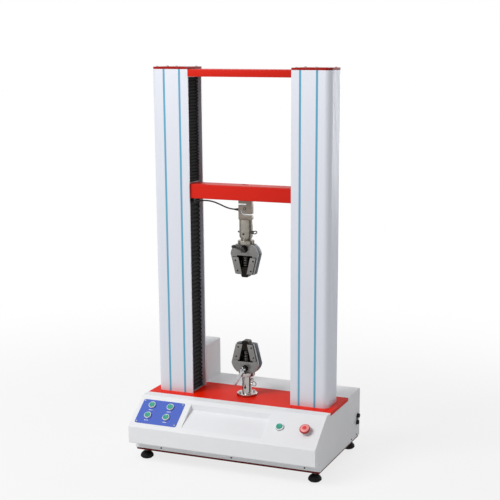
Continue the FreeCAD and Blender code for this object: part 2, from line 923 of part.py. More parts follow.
socket_pieces = []
for name, back, level in (("upper_socket", S.socket_upper_back, S.socket_upper_level),
                          ("lower_socket", S.socket_lower_back, S.socket_lower_level)):
    shell = turned(name, [
        (0, 0), (S.socket_radius, 0), (S.socket_radius, S.socket_proud - S.socket_edge),
        (S.socket_radius - S.socket_edge, S.socket_proud), (S.socket_bore, S.socket_proud),
        (S.socket_bore, S.socket_floor), (S.socket_core, S.socket_floor),
        (S.socket_core, S.socket_proud - S.socket_floor), (0, S.socket_proud - S.socket_floor),
    ])
    seat(shell, half_width, back, level, Y_AXIS, 90)
    socket_pieces.append(shell)
socket_pieces.append(rod("earth_screw", half_width, S.earth_back, S.earth_level, S.earth_radius,
                         S.earth_proud, "X"))
group("side_sockets", socket_pieces)


# Columns: extruded covers of C section, open towards the test space, on the table plate

column_tall = S.column_top - S.table_top
column_half = S.column_depth / 2
column_inside = S.column_outer - S.column_wall
inner_round = S.column_round - S.column_wall

cover = new_body("column_cover_right")
cover_outline = [
    (S.column_inner, -column_half), (S.column_outer - S.column_round, -column_half, S.column_round),
    (S.column_outer, -column_half + S.column_round),
    (S.column_outer, column_half - S.column_round, S.column_round),
    (S.column_outer - S.column_round, column_half), (S.column_inner, column_half),
    (S.column_inner, column_half - S.column_wall),
    (column_inside - inner_round, column_half - S.column_wall, -inner_round),
    (column_inside, column_half - S.column_round),
    (column_inside, -column_half + S.column_round, -inner_round),
    (column_inside - inner_round, -column_half + S.column_wall),
    (S.column_inner, -column_half + S.column_wall),
]
pad(cover, "XY_Plane", "cover_pad", [cover_outline], column_tall, middle=False)
insert_half = S.insert_width / 2
insert_floor = column_half - S.insert_depth
insert_slots = []
for middle in (S.insert_near, S.insert_far):
    for low, high in ((-column_half - 1, -insert_floor), (insert_floor, column_half + 1)):
        insert_slots.append(rectangle(middle - insert_half, low, middle + insert_half, high))
pocket(cover, "XY_Plane", "insert_grooves", insert_slots, column_tall * 2)
rib_start = -S.rib_pitch * (S.rib_count - 1) / 2
ribs = []
for index in range(int(SIZES["rib_count"])):
    low = rib_start + index * S.rib_pitch - S.rib_width / 2
    ribs.append(rectangle(S.column_outer - S.rib_depth, low, S.column_outer + 1, low + S.rib_width))
pocket(cover, "XY_Plane", "outer_grooves", ribs, column_tall * 2)
seat(cover, 0, 0, S.table_top)
mirrored("column_cover_left", cover)

# Coloured inserts pressed into the front and rear grooves

insert_bar_half = insert_half - S.insert_gap
insert_bars = []
for side, sign in (("right", 1), ("left", -1)):
    for place, middle in (("near", S.insert_near), ("far", S.insert_far)):
        for face, low in (("front", -column_half + S.insert_gap), ("rear", insert_floor)):
            insert_bars.append(block("insert_%s_%s_%s" % (side, place, face),
                                     sign * middle - insert_bar_half, low, S.table_top,
                                     insert_bar_half * 2, S.insert_depth - S.insert_gap,
                                     column_tall))
group("column_inserts", insert_bars)

# Top plates, screwed down on the columns through five holes each

inner_row = S.column_inner + S.plate_screw_in
outer_row = S.column_outer - S.plate_screw_out
middle_row = (inner_row + outer_row) / 2
inner_back = column_half - S.plate_screw_in
outer_back = inner_back - S.plate_screw_step
TOP_SCREWS = [
    (inner_row, -inner_back), (outer_row, -outer_back), (middle_row, 0), (inner_row, inner_back),
    (outer_row, outer_back),
]
cap_plate = new_body("top_plate_blank")
cap_outline = [
    (S.column_inner, -column_half), (S.column_outer - S.column_round, -column_half, S.column_round),
    (S.column_outer, -column_half + S.column_round),
    (S.column_outer, column_half - S.column_round, S.column_round),
    (S.column_outer - S.column_round, column_half), (S.column_inner, column_half),
]
pad(cap_plate, "XY_Plane", "top_plate_pad", [cap_outline], S.top_plate_thick, middle=False)
seat(cap_plate, 0, 0, S.column_top)
cap_holes = circle_tools("top_plate_hole", [(x, y, None) for x, y in TOP_SCREWS],
                         S.thread_radius + S.thread_gap, S.column_top - 1, S.top_plate_thick + 2)
cap_right = cut("top_plate_right", cap_plate, cap_holes)
group("column_top_plates", [cap_right, mirrored("top_plate_left", cap_right)])

# Top beam: a folded channel between the columns, open below

beam = new_body("top_beam")
beam_length = 2 * (S.column_inner - S.sheet_gap)
beam_low = S.column_top - S.beam_height
beam_front = column_half
beam_section = [
    (-beam_front, 0), (-beam_front + S.beam_wall, 0),
    (-beam_front + S.beam_wall, S.beam_height - S.beam_wall),
    (beam_front - S.beam_wall, S.beam_height - S.beam_wall), (beam_front - S.beam_wall, 0),
    (beam_front, 0), (beam_front, S.beam_height), (-beam_front, S.beam_height),
]
pad(beam, "YZ_Plane", "beam_pad", [beam_section], beam_length)
round_edges(beam, "beam_folds", S.beam_wall / 2, lambda edge: (
    runs_along(edge, X_AXIS) and edge.CenterOfMass.z > value(S.beam_height) - 0.01))
seat(beam, 0, 0, beam_low)

# Bearing blocks: above, under the top plates, and below, under the table plate

upper_block_low = S.column_top - S.bearing_thick
lower_block_low = plate_seat - S.bearing_thick
upper_block = block("upper_bearing_blank", S.carriage_inner, -S.bearing_half, upper_block_low,
                    S.carriage_outer - S.carriage_inner, 2 * S.bearing_half, S.bearing_thick)
rod_top = S.column_top - S.bearing_thick / 4
upper_bores = [
    rod("upper_journal_bore", S.drive_across, 0, upper_block_low - 1,
        S.journal_radius + S.bearing_fit, S.bearing_thick - 2),
    rod("upper_rod_bore", S.rod_across, 0, upper_block_low - 1,
        S.rod_radius + S.bearing_fit, rod_top - upper_block_low + 1),
]
upper_bearing = cut("upper_bearing_right", upper_block, upper_bores)
lower_block = block("lower_bearing_blank", S.drive_across - S.bearing_half, -S.bearing_half,
                    lower_block_low, 2 * S.bearing_half, 2 * S.bearing_half, S.bearing_thick)
lower_bore = rod("lower_journal_bore", S.drive_across, 0, lower_block_low - 1,
                 S.journal_radius + S.bearing_fit, S.bearing_thick + 2)
lower_bearing = cut("lower_bearing_right", lower_block, [lower_bore])
group("screw_bearings", [upper_bearing, lower_bearing,
                         mirrored("upper_bearing_left", upper_bearing),
                         mirrored("lower_bearing_left", lower_bearing)])

# Guide rods stand on the table plate beside the screws

rods = [
    rod("guide_rod_%s" % side, sign * S.rod_across, 0, S.table_top, S.rod_radius, rod_top - S.table_top)
    for side, sign in (("left", -1), ("right", 1))
]
group("guide_rods", rods)

# Ball screws: a shaft with journals, and the belt pulley on its lower end as a solid of its own

screw_start = S.table_top + 1
screw_end = upper_block_low - 1
journal_end = upper_block_low + S.bearing_thick - 4
shoulder = 1


def pulley(name, outer, bore, x, y):
    """A flanged belt pulley."""
    flange = outer + S.pulley_rim
    wheel = turned(name, [
        (bore, 0), (flange, 0), (flange, 2), (outer, 2), (outer, S.pulley_height - 2),
        (flange, S.pulley_height - 2), (flange, S.pulley_height), (bore, S.pulley_height),
    ])
    return seat(wheel, x, y, S.pulley_level)


for side, sign in (("left", -1), ("right", 1)):
    shaft = turned("screw_shaft_" + side, [
        (0, S.drive_tail), (S.journal_radius - shoulder, S.drive_tail),
        (S.journal_radius, S.drive_tail + shoulder), (S.journal_radius, screw_start),
        (S.drive_radius - shoulder, screw_start), (S.drive_radius, screw_start + shoulder),
        (S.drive_radius, screw_end - shoulder), (S.drive_radius - shoulder, screw_end),
        (S.journal_radius, screw_end), (S.journal_radius, journal_end), (0, journal_end),
    ])
    seat(shaft, sign * S.drive_across, 0, 0)
    wheel = pulley("screw_pulley_" + side, S.pulley_radius, S.journal_radius, sign * S.drive_across, 0)
    group("ball_screw_" + side, [shaft, wheel])

# Motor on the rear deck under the tower, with its shaft down through the deck

motor_low = S.table_top
motor_half = S.motor_side / 2
motor_frame = new_body("motor_frame")
motor_outline = rounded(-motor_half, -motor_half, motor_half, motor_half, motor_half / 4)
pad(motor_frame, "XY_Plane", "motor_pad", [motor_outline], S.motor_tall, middle=False)
seat(motor_frame, -S.motor_across, S.motor_back, motor_low)
shaft_depth = S.motor_tall / 3
shaft_bore = rod("motor_bore", -S.motor_across, S.motor_back, motor_low - 1,
                 S.motor_shaft + S.bearing_fit, shaft_depth + 1)
cut("drive_motor", motor_frame, [shaft_bore])
motor_flange = S.motor_pulley_radius + S.pulley_rim
motor_wheel = turned("motor_pulley", [
    (0, -4), (S.motor_shaft, -4), (S.motor_shaft, 0), (motor_flange, 0), (motor_flange, 2),
    (S.motor_pulley_radius, 2), (S.motor_pulley_radius, S.pulley_height - 2),
    (motor_flange, S.pulley_height - 2), (motor_flange, S.pulley_height),
    (S.motor_shaft, S.pulley_height), (S.motor_shaft, motor_low + shaft_depth - S.pulley_level - 1),
    (0, motor_low + shaft_depth - S.pulley_level - 1),
])
seat(motor_wheel, -S.motor_across, S.motor_back, S.pulley_level)


# Drive belt: straight runs and arcs round the three pulleys

def belt_wire(wheels, grow):
    """The tight loop round pulleys (x, y, radius), listed anticlockwise, grown by a distance."""
    runs = []
    for index, (x, y, radius) in enumerate(wheels):
        next_x, next_y, next_radius = wheels[(index + 1) % len(wheels)]
        line = V(next_x - x, next_y - y, 0)
        lean = math.asin((radius - next_radius) / line.Length)
        along = line.normalize()
        outward = V(along.y, -along.x, 0)
        normal = outward * math.cos(lean) + along * math.sin(lean)
        runs.append((V(x, y, 0) + normal * (radius + grow),
                     V(next_x, next_y, 0) + normal * (next_radius + grow), normal))
    edges = []
    for index, (start, stop, normal) in enumerate(runs):
        next_start, _, next_normal = runs[(index + 1) % len(runs)]
        next_x, next_y, next_radius = wheels[(index + 1) % len(wheels)]
        halfway = (normal + next_normal).normalize()
        edges.append(Part.LineSegment(start, stop).toShape())
        bend = V(next_x, next_y, 0) + halfway * (next_radius + grow)
        edges.append(Part.Arc(stop, bend, next_start).toShape())
    return Part.Wire(edges)


belt_wheels = [
    (value(-S.drive_across), 0, value(S.pulley_radius)),
    (value(S.drive_across), 0, value(S.pulley_radius)),
    (value(-S.motor_across), value(S.motor_back), value(S.motor_pulley_radius)),
]
belt_inside = value(S.belt_gap)
belt_outside = belt_inside + value(S.belt_thick)
belt_band = Part.Face(belt_wire(belt_wheels, belt_outside)).cut(
    Part.Face(belt_wire(belt_wheels, belt_inside)))
belt_low = value(S.pulley_level + (S.pulley_height - S.belt_width) / 2)
belt = doc.addObject("Part::Feature", "drive_belt")
belt.Shape = belt_band.Faces[0].extrude(V(0, 0, value(S.belt_width)))
belt.Placement = FreeCAD.Placement(V(0, 0, belt_low), FreeCAD.Rotation())

# Drive electronics on the tray: a power stage in its case, and a board on four posts

tray_floor = S.tray_bottom + S.tray_sheet
power_back = S.power_deep / 2
power_box = new_body("power_stage")
power_outline = rounded(S.power_across, -power_back, S.power_across + S.power_wide, power_back, 3)
pad(power_box, "XY_Plane", "power_pad", [power_outline], S.power_tall, middle=False)
seat(power_box, 0, 0, tray_floor)
board_left = -S.power_across - S.power_wide
board_level = tray_floor + S.board_gap
board = block("control_board", board_left, -power_back, board_level, S.power_wide, S.power_deep,
              S.board_thick)
posts = []
post_across = S.power_wide / 2 - S.post_inset
post_back = power_back - S.post_inset
for index, (x, y) in enumerate([(-1, -1), (1, -1), (-1, 1), (1, 1)], start=1):
    posts.append(rod("board_post_%d" % index, board_left + S.power_wide / 2 + x * post_across,
                     y * post_back, tray_floor, S.post_radius, S.board_gap))
group("drive_electronics", [power_box, board] + posts)


# Bellows: pleated way covers in the open side of each column

def pleats(name, low, high):
    """One pleated sleeve for each column, drawn as its folded outline in (X, Z)."""
    count = max(2, round((high - low) / SIZES["bellows_pitch"]))
    step = (high - low) / count
    inner = value(S.bellows_inner)
    outer = inner + value(S.bellows_thick)
    fold = value(S.bellows_fold)
    near = [V(inner + (0 if i % 2 else fold), 0, low + i * step / 2) for i in range(2 * count + 1)]
    far = [V(outer - (0 if i % 2 else fold), 0, low + i * step / 2) for i in range(2 * count + 1)]
    outline = near + far[::-1]
    half = value(S.bellows_half)
    face = Part.Face(Part.makePolygon(outline + outline[:1]))
    sleeve = face.extrude(V(0, 2 * half, 0))
    sleeve.translate(V(0, -half, 0))
    feature = doc.addObject("Part::Feature", name)
    feature.Shape = Part.makeCompound([sleeve, sleeve.mirror(V(), X_AXIS)])


cross_top = S.cross_bottom + S.cross_height
pleats("upper_bellows", value(cross_top + S.bellows_plate), value(upper_block_low - S.bellows_plate))
pleats("lower_bellows", value(S.table_top + S.bellows_plate), value(S.cross_bottom - S.bellows_plate))

# Plates that hold the ends of the bellows, on the frame and on the crosshead

def bellows_plates(name, levels, outer):
    plates = []
    inner = S.bellows_inner - S.bellows_plate_edge
    for number, level in enumerate(levels, start=1):
        right = block("%s_right_%d" % (name, number), inner, -S.bellows_half, level,
                      outer - inner, 2 * S.bellows_half, S.bellows_plate)
        plates += [right, mirrored("%s_left_%d" % (name, number), right)]
    group(name, plates)


bellows_plates("bellows_end_plates", [S.table_top, upper_block_low - S.bellows_plate],
               S.drive_across - S.drive_radius - S.plate_clear)
bellows_plates("bellows_carriage_plates", [S.cross_bottom - S.bellows_plate, cross_top],
               S.drive_across - S.nut_outer - S.plate_clear)

# Crosshead beam between the carriages, with a counterbored hole for the load cell bolt

cross = new_body("crosshead_bar")
cross_section = rectangle(-S.cross_front, 0, S.cross_rear, S.cross_height)
pad(cross, "YZ_Plane", "crosshead_pad", [cross_section], 2 * S.carriage_inner)
round_edges(cross, "crosshead_rounds", S.cross_round, lambda edge: runs_along(edge, X_AXIS))
seat(cross, 0, 0, S.cross_bottom)
head_seat = cross_top - S.bolt_head_tall - 2
cut("crosshead_beam", cross, [
    rod("crosshead_bolt_hole", 0, 0, S.cross_bottom - 1, S.bolt_radius + S.bolt_gap, S.cross_height + 2),
    rod("crosshead_counterbore", 0, 0, head_seat, S.bolt_head + 2, S.cross_height),
])

# Carriages run on the guide rods and are driven by the nuts on the screws

carriage_blank = block("carriage_blank", S.carriage_inner, -S.carriage_half, S.cross_bottom,
                       S.carriage_outer - S.carriage_inner, 2 * S.carriage_half, S.cross_height)
carriage = cut("carriage_right", carriage_blank, [
    rod("carriage_screw_bore", S.drive_across, 0, S.cross_bottom - 1, S.drive_radius + 2,
        S.cross_height + 2),
    rod("carriage_rod_bore", S.rod_across, 0, S.cross_bottom - 1, S.rod_radius + S.rod_fit,
        S.cross_height + 2),
])
drive_nut = turned("drive_nut_right", [
    (S.drive_radius + S.rod_fit, 0), (S.nut_outer, 0), (S.nut_outer, S.nut_drop - 1),
    (S.nut_outer - 1, S.nut_drop), (S.drive_radius + S.rod_fit, S.nut_drop),
])
seat(drive_nut, S.drive_across, 0, S.cross_bottom - S.nut_drop)
group("crosshead_carriages", [carriage, drive_nut, mirrored("carriage_left", carriage),
                              mirrored("drive_nut_left", drive_nut)])


# Load cell: an S shaped block with two slits, hung from the crosshead by a bolt

cell_top = S.cell_bottom + S.cell_height
cell_half = S.cell_width / 2
cell = new_body("load_cell_block")
pad(cell, "XZ_Plane", "cell_pad", [rectangle(-cell_half, 0, cell_half, S.cell_height)], S.cell_depth)
round_edges(cell, "cell_edges", S.grip_edge, lambda edge: runs_along(edge, Y_AXIS), "Chamfer")
slit_half = S.cell_slit / 2
turn_x = -S.lower_slit_turn
turn_level = S.lower_slit_level + S.lower_slit_rise
turn_outside = S.lower_slit_rise + slit_half
turn_inside = S.lower_slit_rise - slit_half
lower_slit = [
    (cell_half + 1, turn_level - turn_inside), (turn_x, turn_level - turn_inside, -turn_inside),
    (turn_x - turn_inside, turn_level), (turn_x - turn_outside, turn_level, turn_outside),
    (turn_x, turn_level - turn_outside), (cell_half + 1, turn_level - turn_outside),
]
pocket(cell, "XZ_Plane", "cell_slits", [
    rectangle(-cell_half - 1, S.upper_slit_level - slit_half, S.upper_slit_end,
              S.upper_slit_level + slit_half),
    lower_slit,
])
boss_length = S.cell_depth + 2 * S.cell_boss_proud
seat(cell, 0, 0, S.cell_bottom)
boss = rod("cell_boss_bar", 0, -boss_length / 2, S.cell_bottom + S.cell_height / 2, S.cell_boss,
           boss_length, "Y")
thread_bore = S.bolt_radius + S.bolt_gap
cut("load_cell", fuse("cell_with_boss", [cell, boss]), [
    rod("cell_upper_thread", 0, 0, cell_top - S.bolt_engage - 1, thread_bore, S.bolt_engage + 2),
    rod("cell_lower_thread", 0, 0, S.cell_bottom - 1, thread_bore, S.bolt_engage + 2),
])

# What holds the load cell and its cable: bolt and spacer, gland, and a clip under the crosshead

cell_bolt = turned("cell_bolt", [
    (0, cell_top - S.bolt_engage), (S.bolt_radius, cell_top - S.bolt_engage),
    (S.bolt_radius, head_seat), (S.bolt_head, head_seat),
    (S.bolt_head, head_seat + S.bolt_head_tall - 1), (S.bolt_head - 1, head_seat + S.bolt_head_tall),
    (0, head_seat + S.bolt_head_tall),
])
spacer = turned("cell_spacer", [
    (thread_bore, cell_top), (S.spacer_radius, cell_top), (S.spacer_radius, S.cross_bottom),
    (thread_bore, S.cross_bottom),
])
gland = turned("cable_gland", [
    (0, 0), (S.gland_radius, 0), (S.gland_radius, S.gland_length - 3),
    (S.gland_radius - 2, S.gland_length), (0, S.gland_length),
])
seat(gland, -cell_half, 0, S.gland_level, Y_AXIS, -90)

# Load cell cable, clipped up under the crosshead; the points are its route from gland to clip

CABLE_ROUTE = [
    (-33, 0, 947), (-52, 0, 947), (-76, -3, 952), (-101, -9, 964), (-125, -17, 974.5),
    (-151, -27.5, 978.5), (-173, -35, 977), (-191, -35, 977),
]
clip_end = CABLE_ROUTE[-1]
clip_low = clip_end[2] - S.cable_radius - 3
clip = block("cable_clip", clip_end[0] - S.clip_length, clip_end[1] - S.clip_length / 2, clip_low,
             S.clip_length, S.clip_length, S.cross_bottom - clip_low)
group("load_cell_fittings", [cell_bolt, spacer, gland, clip])


def cord_path(points):
    """Straight runs joined by arcs as large as the runs allow, and the radius of each arc."""
    edges = []
    radii = []
    start = points[0]
    for before, corner, after in zip(points, points[1:], points[2:]):
        back = before - corner
        ahead = after - corner
        turn = math.pi - back.getAngle(ahead)
        reach = 0.45 * min(back.Length, ahead.Length)
        radius = reach / math.tan(turn / 2)
        back.normalize()
        ahead.normalize()
        first = corner + back * reach
        last = corner + ahead * reach
        centre = corner + (back + ahead).normalize() * math.hypot(radius, reach)
        middle = centre + (corner - centre).normalize() * radius
        edges.append(Part.LineSegment(start, first).toShape())
        edges.append(Part.Arc(first, middle, last).toShape())
        radii.append(round(radius, 1))
        start = last
    edges.append(Part.LineSegment(start, points[-1]).toShape())
    return Part.Wire(edges), radii


route = [V(*point) for point in CABLE_ROUTE]
cable_line, cable_radii = cord_path(route)
cable_radius = value(S.cable_radius)
section = Part.Wire([Part.makeCircle(cable_radius, route[0], route[1] - route[0])])
cable = doc.addObject("Part::Feature", "load_cell_cable")
cable.Shape = cable_line.makePipeShell([section], True, True)
cable_volume = math.pi * cable_radius ** 2 * cable_line.Length
print("cable bends", cable_radii, "length", round(cable_line.Length, 1))
if abs(cable.Shape.Volume / cable_volume - 1) > 0.01:
    raise SystemExit("the cable is not as thick as it should be")

# Upper adapter: screwed into the load cell, bored for the shank of the grip, cross-drilled

adapter_top = S.cell_bottom
pin_level = adapter_top - S.pin_drop
neck_top = S.adapter_bottom + S.adapter_neck_tall
adapter = turned("adapter_blank", [
    (S.upper_shank + S.shank_fit, S.adapter_bottom), (S.adapter_neck, S.adapter_bottom),
    (S.adapter_neck, neck_top), (S.adapter_radius, neck_top + S.adapter_cone),
    (S.adapter_radius, adapter_top), (S.bolt_radius, adapter_top),
    (S.bolt_radius, adapter_top + S.bolt_engage), (0, adapter_top + S.bolt_engage),
    (0, S.adapter_bore_top), (S.upper_shank + S.shank_fit, S.adapter_bore_top),
])
cut("upper_adapter", adapter, [
    rod("adapter_pin_hole", -S.adapter_radius - 1, 0, pin_level, S.pin_radius + S.pin_fit,
        2 * S.adapter_radius + 2, "X"),
    rod("adapter_sight_hole", 0, -S.adapter_radius - 1, adapter_top - S.sight_drop, S.sight_radius,
        S.adapter_radius, "Y"),
])


def cross_pin(name, level, radius, tip, tail, ring, tilt):
    """A pull-out pin along X with a wire ring at its right end."""
    shaft = turned(name + "_shaft", [
        (0, -tip), (radius / 2, -tip), (radius / 2, -tip + S.pin_nose),
        (radius - 1, -tip + S.pin_nose), (radius, -tip + S.pin_nose + 1), (radius, tail), (0, tail),
    ])
    seat(shaft, 0, 0, level, Y_AXIS, 90)
    loop = doc.addObject("Part::Torus", name + "_ring")
    bind(loop, Radius1=ring, Radius2=S.ring_wire)
    seat(loop, tail + ring - S.ring_wire / 2, 0, level, X_AXIS, tilt)
    return fuse(name, [shaft, loop])


cross_pin("upper_pin", pin_level, S.pin_radius, S.pin_tip, S.pin_tail, S.ring_radius, S.ring_tilt)


# Lock rings: a round nut with slots for a hook spanner

def lock_ring(name, low, bore):
    ring = turned(name, [
        (bore, 0), (S.lock_radius - 1, 0), (S.lock_radius, 1), (S.lock_radius, S.lock_height - 1),
        (S.lock_radius - 1, S.lock_height), (bore, S.lock_height),
    ])
    slot_half = S.lock_slot / 2
    slot = pocket(ring, "XY_Plane", name + "_slot", [
        rectangle(S.lock_radius - S.lock_slot_depth, -slot_half, S.lock_radius + 1, slot_half)])
    pattern = ring.newObject("PartDesign::PolarPattern", name + "_slots")
    pattern.Originals = [slot]
    pattern.Axis = (slot.Profile[0], ["N_Axis"])
    pattern.Angle = 360
    pattern.Occurrences = 6
    ring.Tip = pattern
    return seat(ring, 0, 0, low)


upper_grip_top = S.upper_mouth + S.grip_height
lock_rise = (S.adapter_bottom - upper_grip_top - S.lock_height) / 2
lock_ring("upper_lock_ring", upper_grip_top + lock_rise, S.upper_shank + S.rod_fit)

# Lower adapter: flange on the table, tube for the shank, a lock ring and a small locking knob

lower_grip_bottom = S.lower_mouth - S.grip_height
bolt_circle = (S.flange_radius + S.socket_tube) / 2 * cosine(45)
FLANGE_BOLTS = [(a * bolt_circle, b * bolt_circle) for a in (-1, 1) for b in (-1, 1)]
tube = turned("lower_adapter_blank", [
    (0, S.table_top), (S.flange_radius, S.table_top),
    (S.flange_radius, S.table_top + S.flange_thick - 1),
    (S.flange_radius - 1, S.table_top + S.flange_thick),
    (S.socket_tube, S.table_top + S.flange_thick), (S.socket_tube, S.socket_tube_top),
    (S.lower_shank + S.shank_fit, S.socket_tube_top),
    (S.lower_shank + S.shank_fit, S.lower_bore_bottom), (0, S.lower_bore_bottom),
])
knob_start = (S.lower_shank + S.socket_tube) / 2
tube_cuts = circle_tools("flange_hole", [(x, y, None) for x, y in FLANGE_BOLTS],
                         S.flange_bolt_thread + S.thread_gap, S.table_top - 1, S.flange_thick + 2)
tube_cuts += [
    rod("lower_pin_hole", -S.socket_tube - 1, 0, S.lower_pin_level, S.lower_pin_radius + S.pin_fit,
        2 * S.socket_tube + 2, "X"),
    rod("lower_sight_hole", 0, -S.socket_tube - 1, S.lower_sight_level, S.sight_radius,
        S.socket_tube, "Y"),
    rod("knob_hole", knob_start, 0, S.knob_level, S.knob_radius + S.pin_fit, S.socket_tube, "X"),
]
lower_tube = cut("lower_adapter_tube", tube, tube_cuts)
knob = rod("locking_knob", knob_start, 0, S.knob_level, S.knob_radius,
           S.socket_tube - knob_start + S.knob_proud, "X")
lower_lock_rise = (lower_grip_bottom - S.socket_tube_top - S.lock_height) / 2
lower_ring = lock_ring("lower_lock_ring", S.socket_tube_top + lower_lock_rise,
                       S.lower_shank + S.rod_fit)
group("lower_adapter", [lower_tube, knob, lower_ring])
cross_pin("lower_pin", S.lower_pin_level, S.lower_pin_radius, S.lower_pin_tip, S.lower_pin_tail,
          S.lower_ring_radius, S.lower_ring_tilt)


# Wedge grips. Heights run from the mouth of a grip; up is 1 for the upper one, -1 for the lower

wedge_slope = tangent(S.wedge_angle)
grip_half_depth = S.grip_depth / 2
jaw_low = -S.jaw_proud
jaw_high = S.jaw_height - S.jaw_proud
yoke_low = jaw_high + S.yoke_gap
yoke_high = yoke_low + S.yoke_thick


def wedge_half(height):
    """Half the width of the wedge space at a height above the mouth."""
    return S.wedge_mouth + height * wedge_slope


def flipped(points, mouth, up):
    """Points of a grip's outline in (X, Z), for a grip that looks down or up."""
    outline = []
    for point in points:
        spot = (point[0], mouth + up * point[1])
        outline.append(spot if len(point) == 2 else spot + (up * point[2],))
    return outline


def upright(name, mouth, up, low, high, radius):
    """A round bar on the load axis between two heights above the mouth."""
    start = mouth + low if up > 0 else mouth - high
    return rod(name, 0, 0, start, radius, high - low)


def grip_body(name, mouth, up, shank_radius, shank_end, cross_level, cross_radius):
    """Forged body with the wedge space, the spring's rod bore and the lever's bore."""
    shape = new_body(name + "_forging")
    outer = [
        (-S.grip_mouth_half, 0), (S.grip_mouth_half, 0), (S.grip_waist_half, S.grip_waist, S.grip_dome),
        (S.grip_top_half, S.grip_height), (-S.grip_top_half, S.grip_height, S.grip_dome),
        (-S.grip_waist_half, S.grip_waist),
    ]
    pad(shape, "XZ_Plane", name + "_pad", [flipped(outer, mouth, up)], S.grip_depth)
    round_edges(shape, name + "_bevel", S.grip_edge,
                lambda edge: abs(edge.CenterOfMass.y) > value(grip_half_depth) - 0.01, "Chamfer")
    space = [
        (-wedge_half(-2), -2), (wedge_half(-2), -2), (wedge_half(S.wedge_height), S.wedge_height),
        (-wedge_half(S.wedge_height), S.wedge_height),
    ]
    pocket(shape, "XZ_Plane", name + "_wedge_space", [flipped(space, mouth, up)])
    top = mouth + up * S.grip_height
    shank_low, shank_high = (top, shank_end) if up > 0 else (shank_end, top)
    overlap = 2
    shank = rod(name + "_shank", 0, 0, shank_low - (overlap if up > 0 else 0), shank_radius,
                shank_high - shank_low + overlap)
    return cut(name, fuse(name + "_with_shank", [shape, shank]), [
        rod(name + "_lever_bore", 0, -grip_half_depth - 1, mouth + up * S.hub_level,
            S.hub_pin + S.hub_pin_fit, S.grip_depth + 2, "Y"),
        upright(name + "_rod_bore", mouth, up, S.wedge_height - 1, S.yoke_bore_top,
                S.yoke_rod + S.rod_fit),
        rod(name + "_sight", 0, -grip_half_depth - 1, mouth + up * S.sight_level, S.sight_hole,
            S.sight_deep + 1, "Y"),
        rod(name + "_cross_bore", -shank_radius - 1, 0, cross_level, cross_radius + S.pin_fit,
            2 * shank_radius + 2, "X"),
    ])


def grip_rails(name, mouth, up):
    """Four guide strips that hold the jaws in the wedge space, and their screws."""
    pieces = []
    rail_end = S.rail_start + S.rail_length
    inner_low = wedge_half(S.rail_start) - S.rail_cover
    inner_high = wedge_half(rail_end) - S.rail_cover
    outline = [
        (inner_low, S.rail_start), (inner_low + S.rail_width, S.rail_start),
        (inner_high + S.rail_width, rail_end), (inner_high, rail_end),
    ]
    for face, back in (("front", -grip_half_depth), ("rear", grip_half_depth + S.rail_thick)):
        strip = new_body("%s_%s_strip" % (name, face))
        pad(strip, "XZ_Plane", "%s_%s_pad" % (name, face), [flipped(outline, mouth, up)],
            S.rail_thick, middle=False)
        seat(strip, 0, back, 0)
        pieces += [strip, mirrored("%s_%s_twin" % (name, face), strip)]
        outside = -grip_half_depth - S.rail_thick - S.rail_screw_head
        if face == "rear":
            outside = back
        for number, along in enumerate((S.rail_start + S.rail_screw_inset,
                                        rail_end - S.rail_screw_inset), start=1):
            across = wedge_half(along) + S.rail_width / 2 - S.rail_cover / 2
            head = rod("%s_%s_screw_%d" % (name, face, number), across, outside,
                       mouth + up * along, S.rail_screw_radius, S.rail_screw_head, "Y")
            pieces += [head, mirrored("%s_%s_screw_twin_%d" % (name, face, number), head)]
    group(name, pieces)


def grip_jaw(name, mouth, up):
    """A wedge with a toothed clamping face, for the right side."""
    jaw = new_body(name)
    face = S.jaw_opening / 2
    slack = S.wedge_gap / cosine(S.wedge_angle)
    nose_top = jaw_low + S.jaw_nose
    outline = [
        (face, jaw_low), (wedge_half(jaw_low) - slack - S.jaw_nose, jaw_low),
        (wedge_half(nose_top) - slack, nose_top), (wedge_half(jaw_high) - slack, jaw_high),
        (face, jaw_high),
    ]
    pad(jaw, "XZ_Plane", name + "_pad", [flipped(outline, mouth, up)],
        S.grip_depth - 2 * S.rail_gap)
    tooth = [
        (face - 1, jaw_low + S.jaw_teeth_pitch * 0.5), (face, jaw_low + S.jaw_teeth_pitch * 0.5),
        (face + S.jaw_teeth_depth, jaw_low + S.jaw_teeth_pitch),
        (face, jaw_low + S.jaw_teeth_pitch * 1.5), (face - 1, jaw_low + S.jaw_teeth_pitch * 1.5),
    ]
    groove = pocket(jaw, "XZ_Plane", name + "_tooth", [flipped(tooth, mouth, up)])
    count = int(SIZES["jaw_height"] / SIZES["jaw_teeth_pitch"]) - 1
    pattern = jaw.newObject("PartDesign::LinearPattern", name + "_teeth")
    pattern.Originals = [groove]
    pattern.Direction = (groove.Profile[0], ["V_Axis"])
    pattern.Reversed = up < 0
    bind(pattern, Length=S.jaw_teeth_pitch * (count - 1))
    pattern.Occurrences = count
    jaw.Tip = pattern
    return jaw


def grip_yoke(name, mouth, up):
    """The cross plate behind the jaws, with the rod that guides the spring."""
    half = wedge_half(yoke_low) - S.yoke_side
    low = mouth + yoke_low if up > 0 else mouth - yoke_high
    deep = S.grip_depth - 2 * S.rail_gap
    plate_part = block(name + "_plate", -half, -deep / 2, low, 2 * half, deep, S.yoke_thick)
    guide = upright(name + "_rod", mouth, up, yoke_high - 1, S.yoke_rod_top, S.yoke_rod)
    fuse(name, [plate_part, guide])


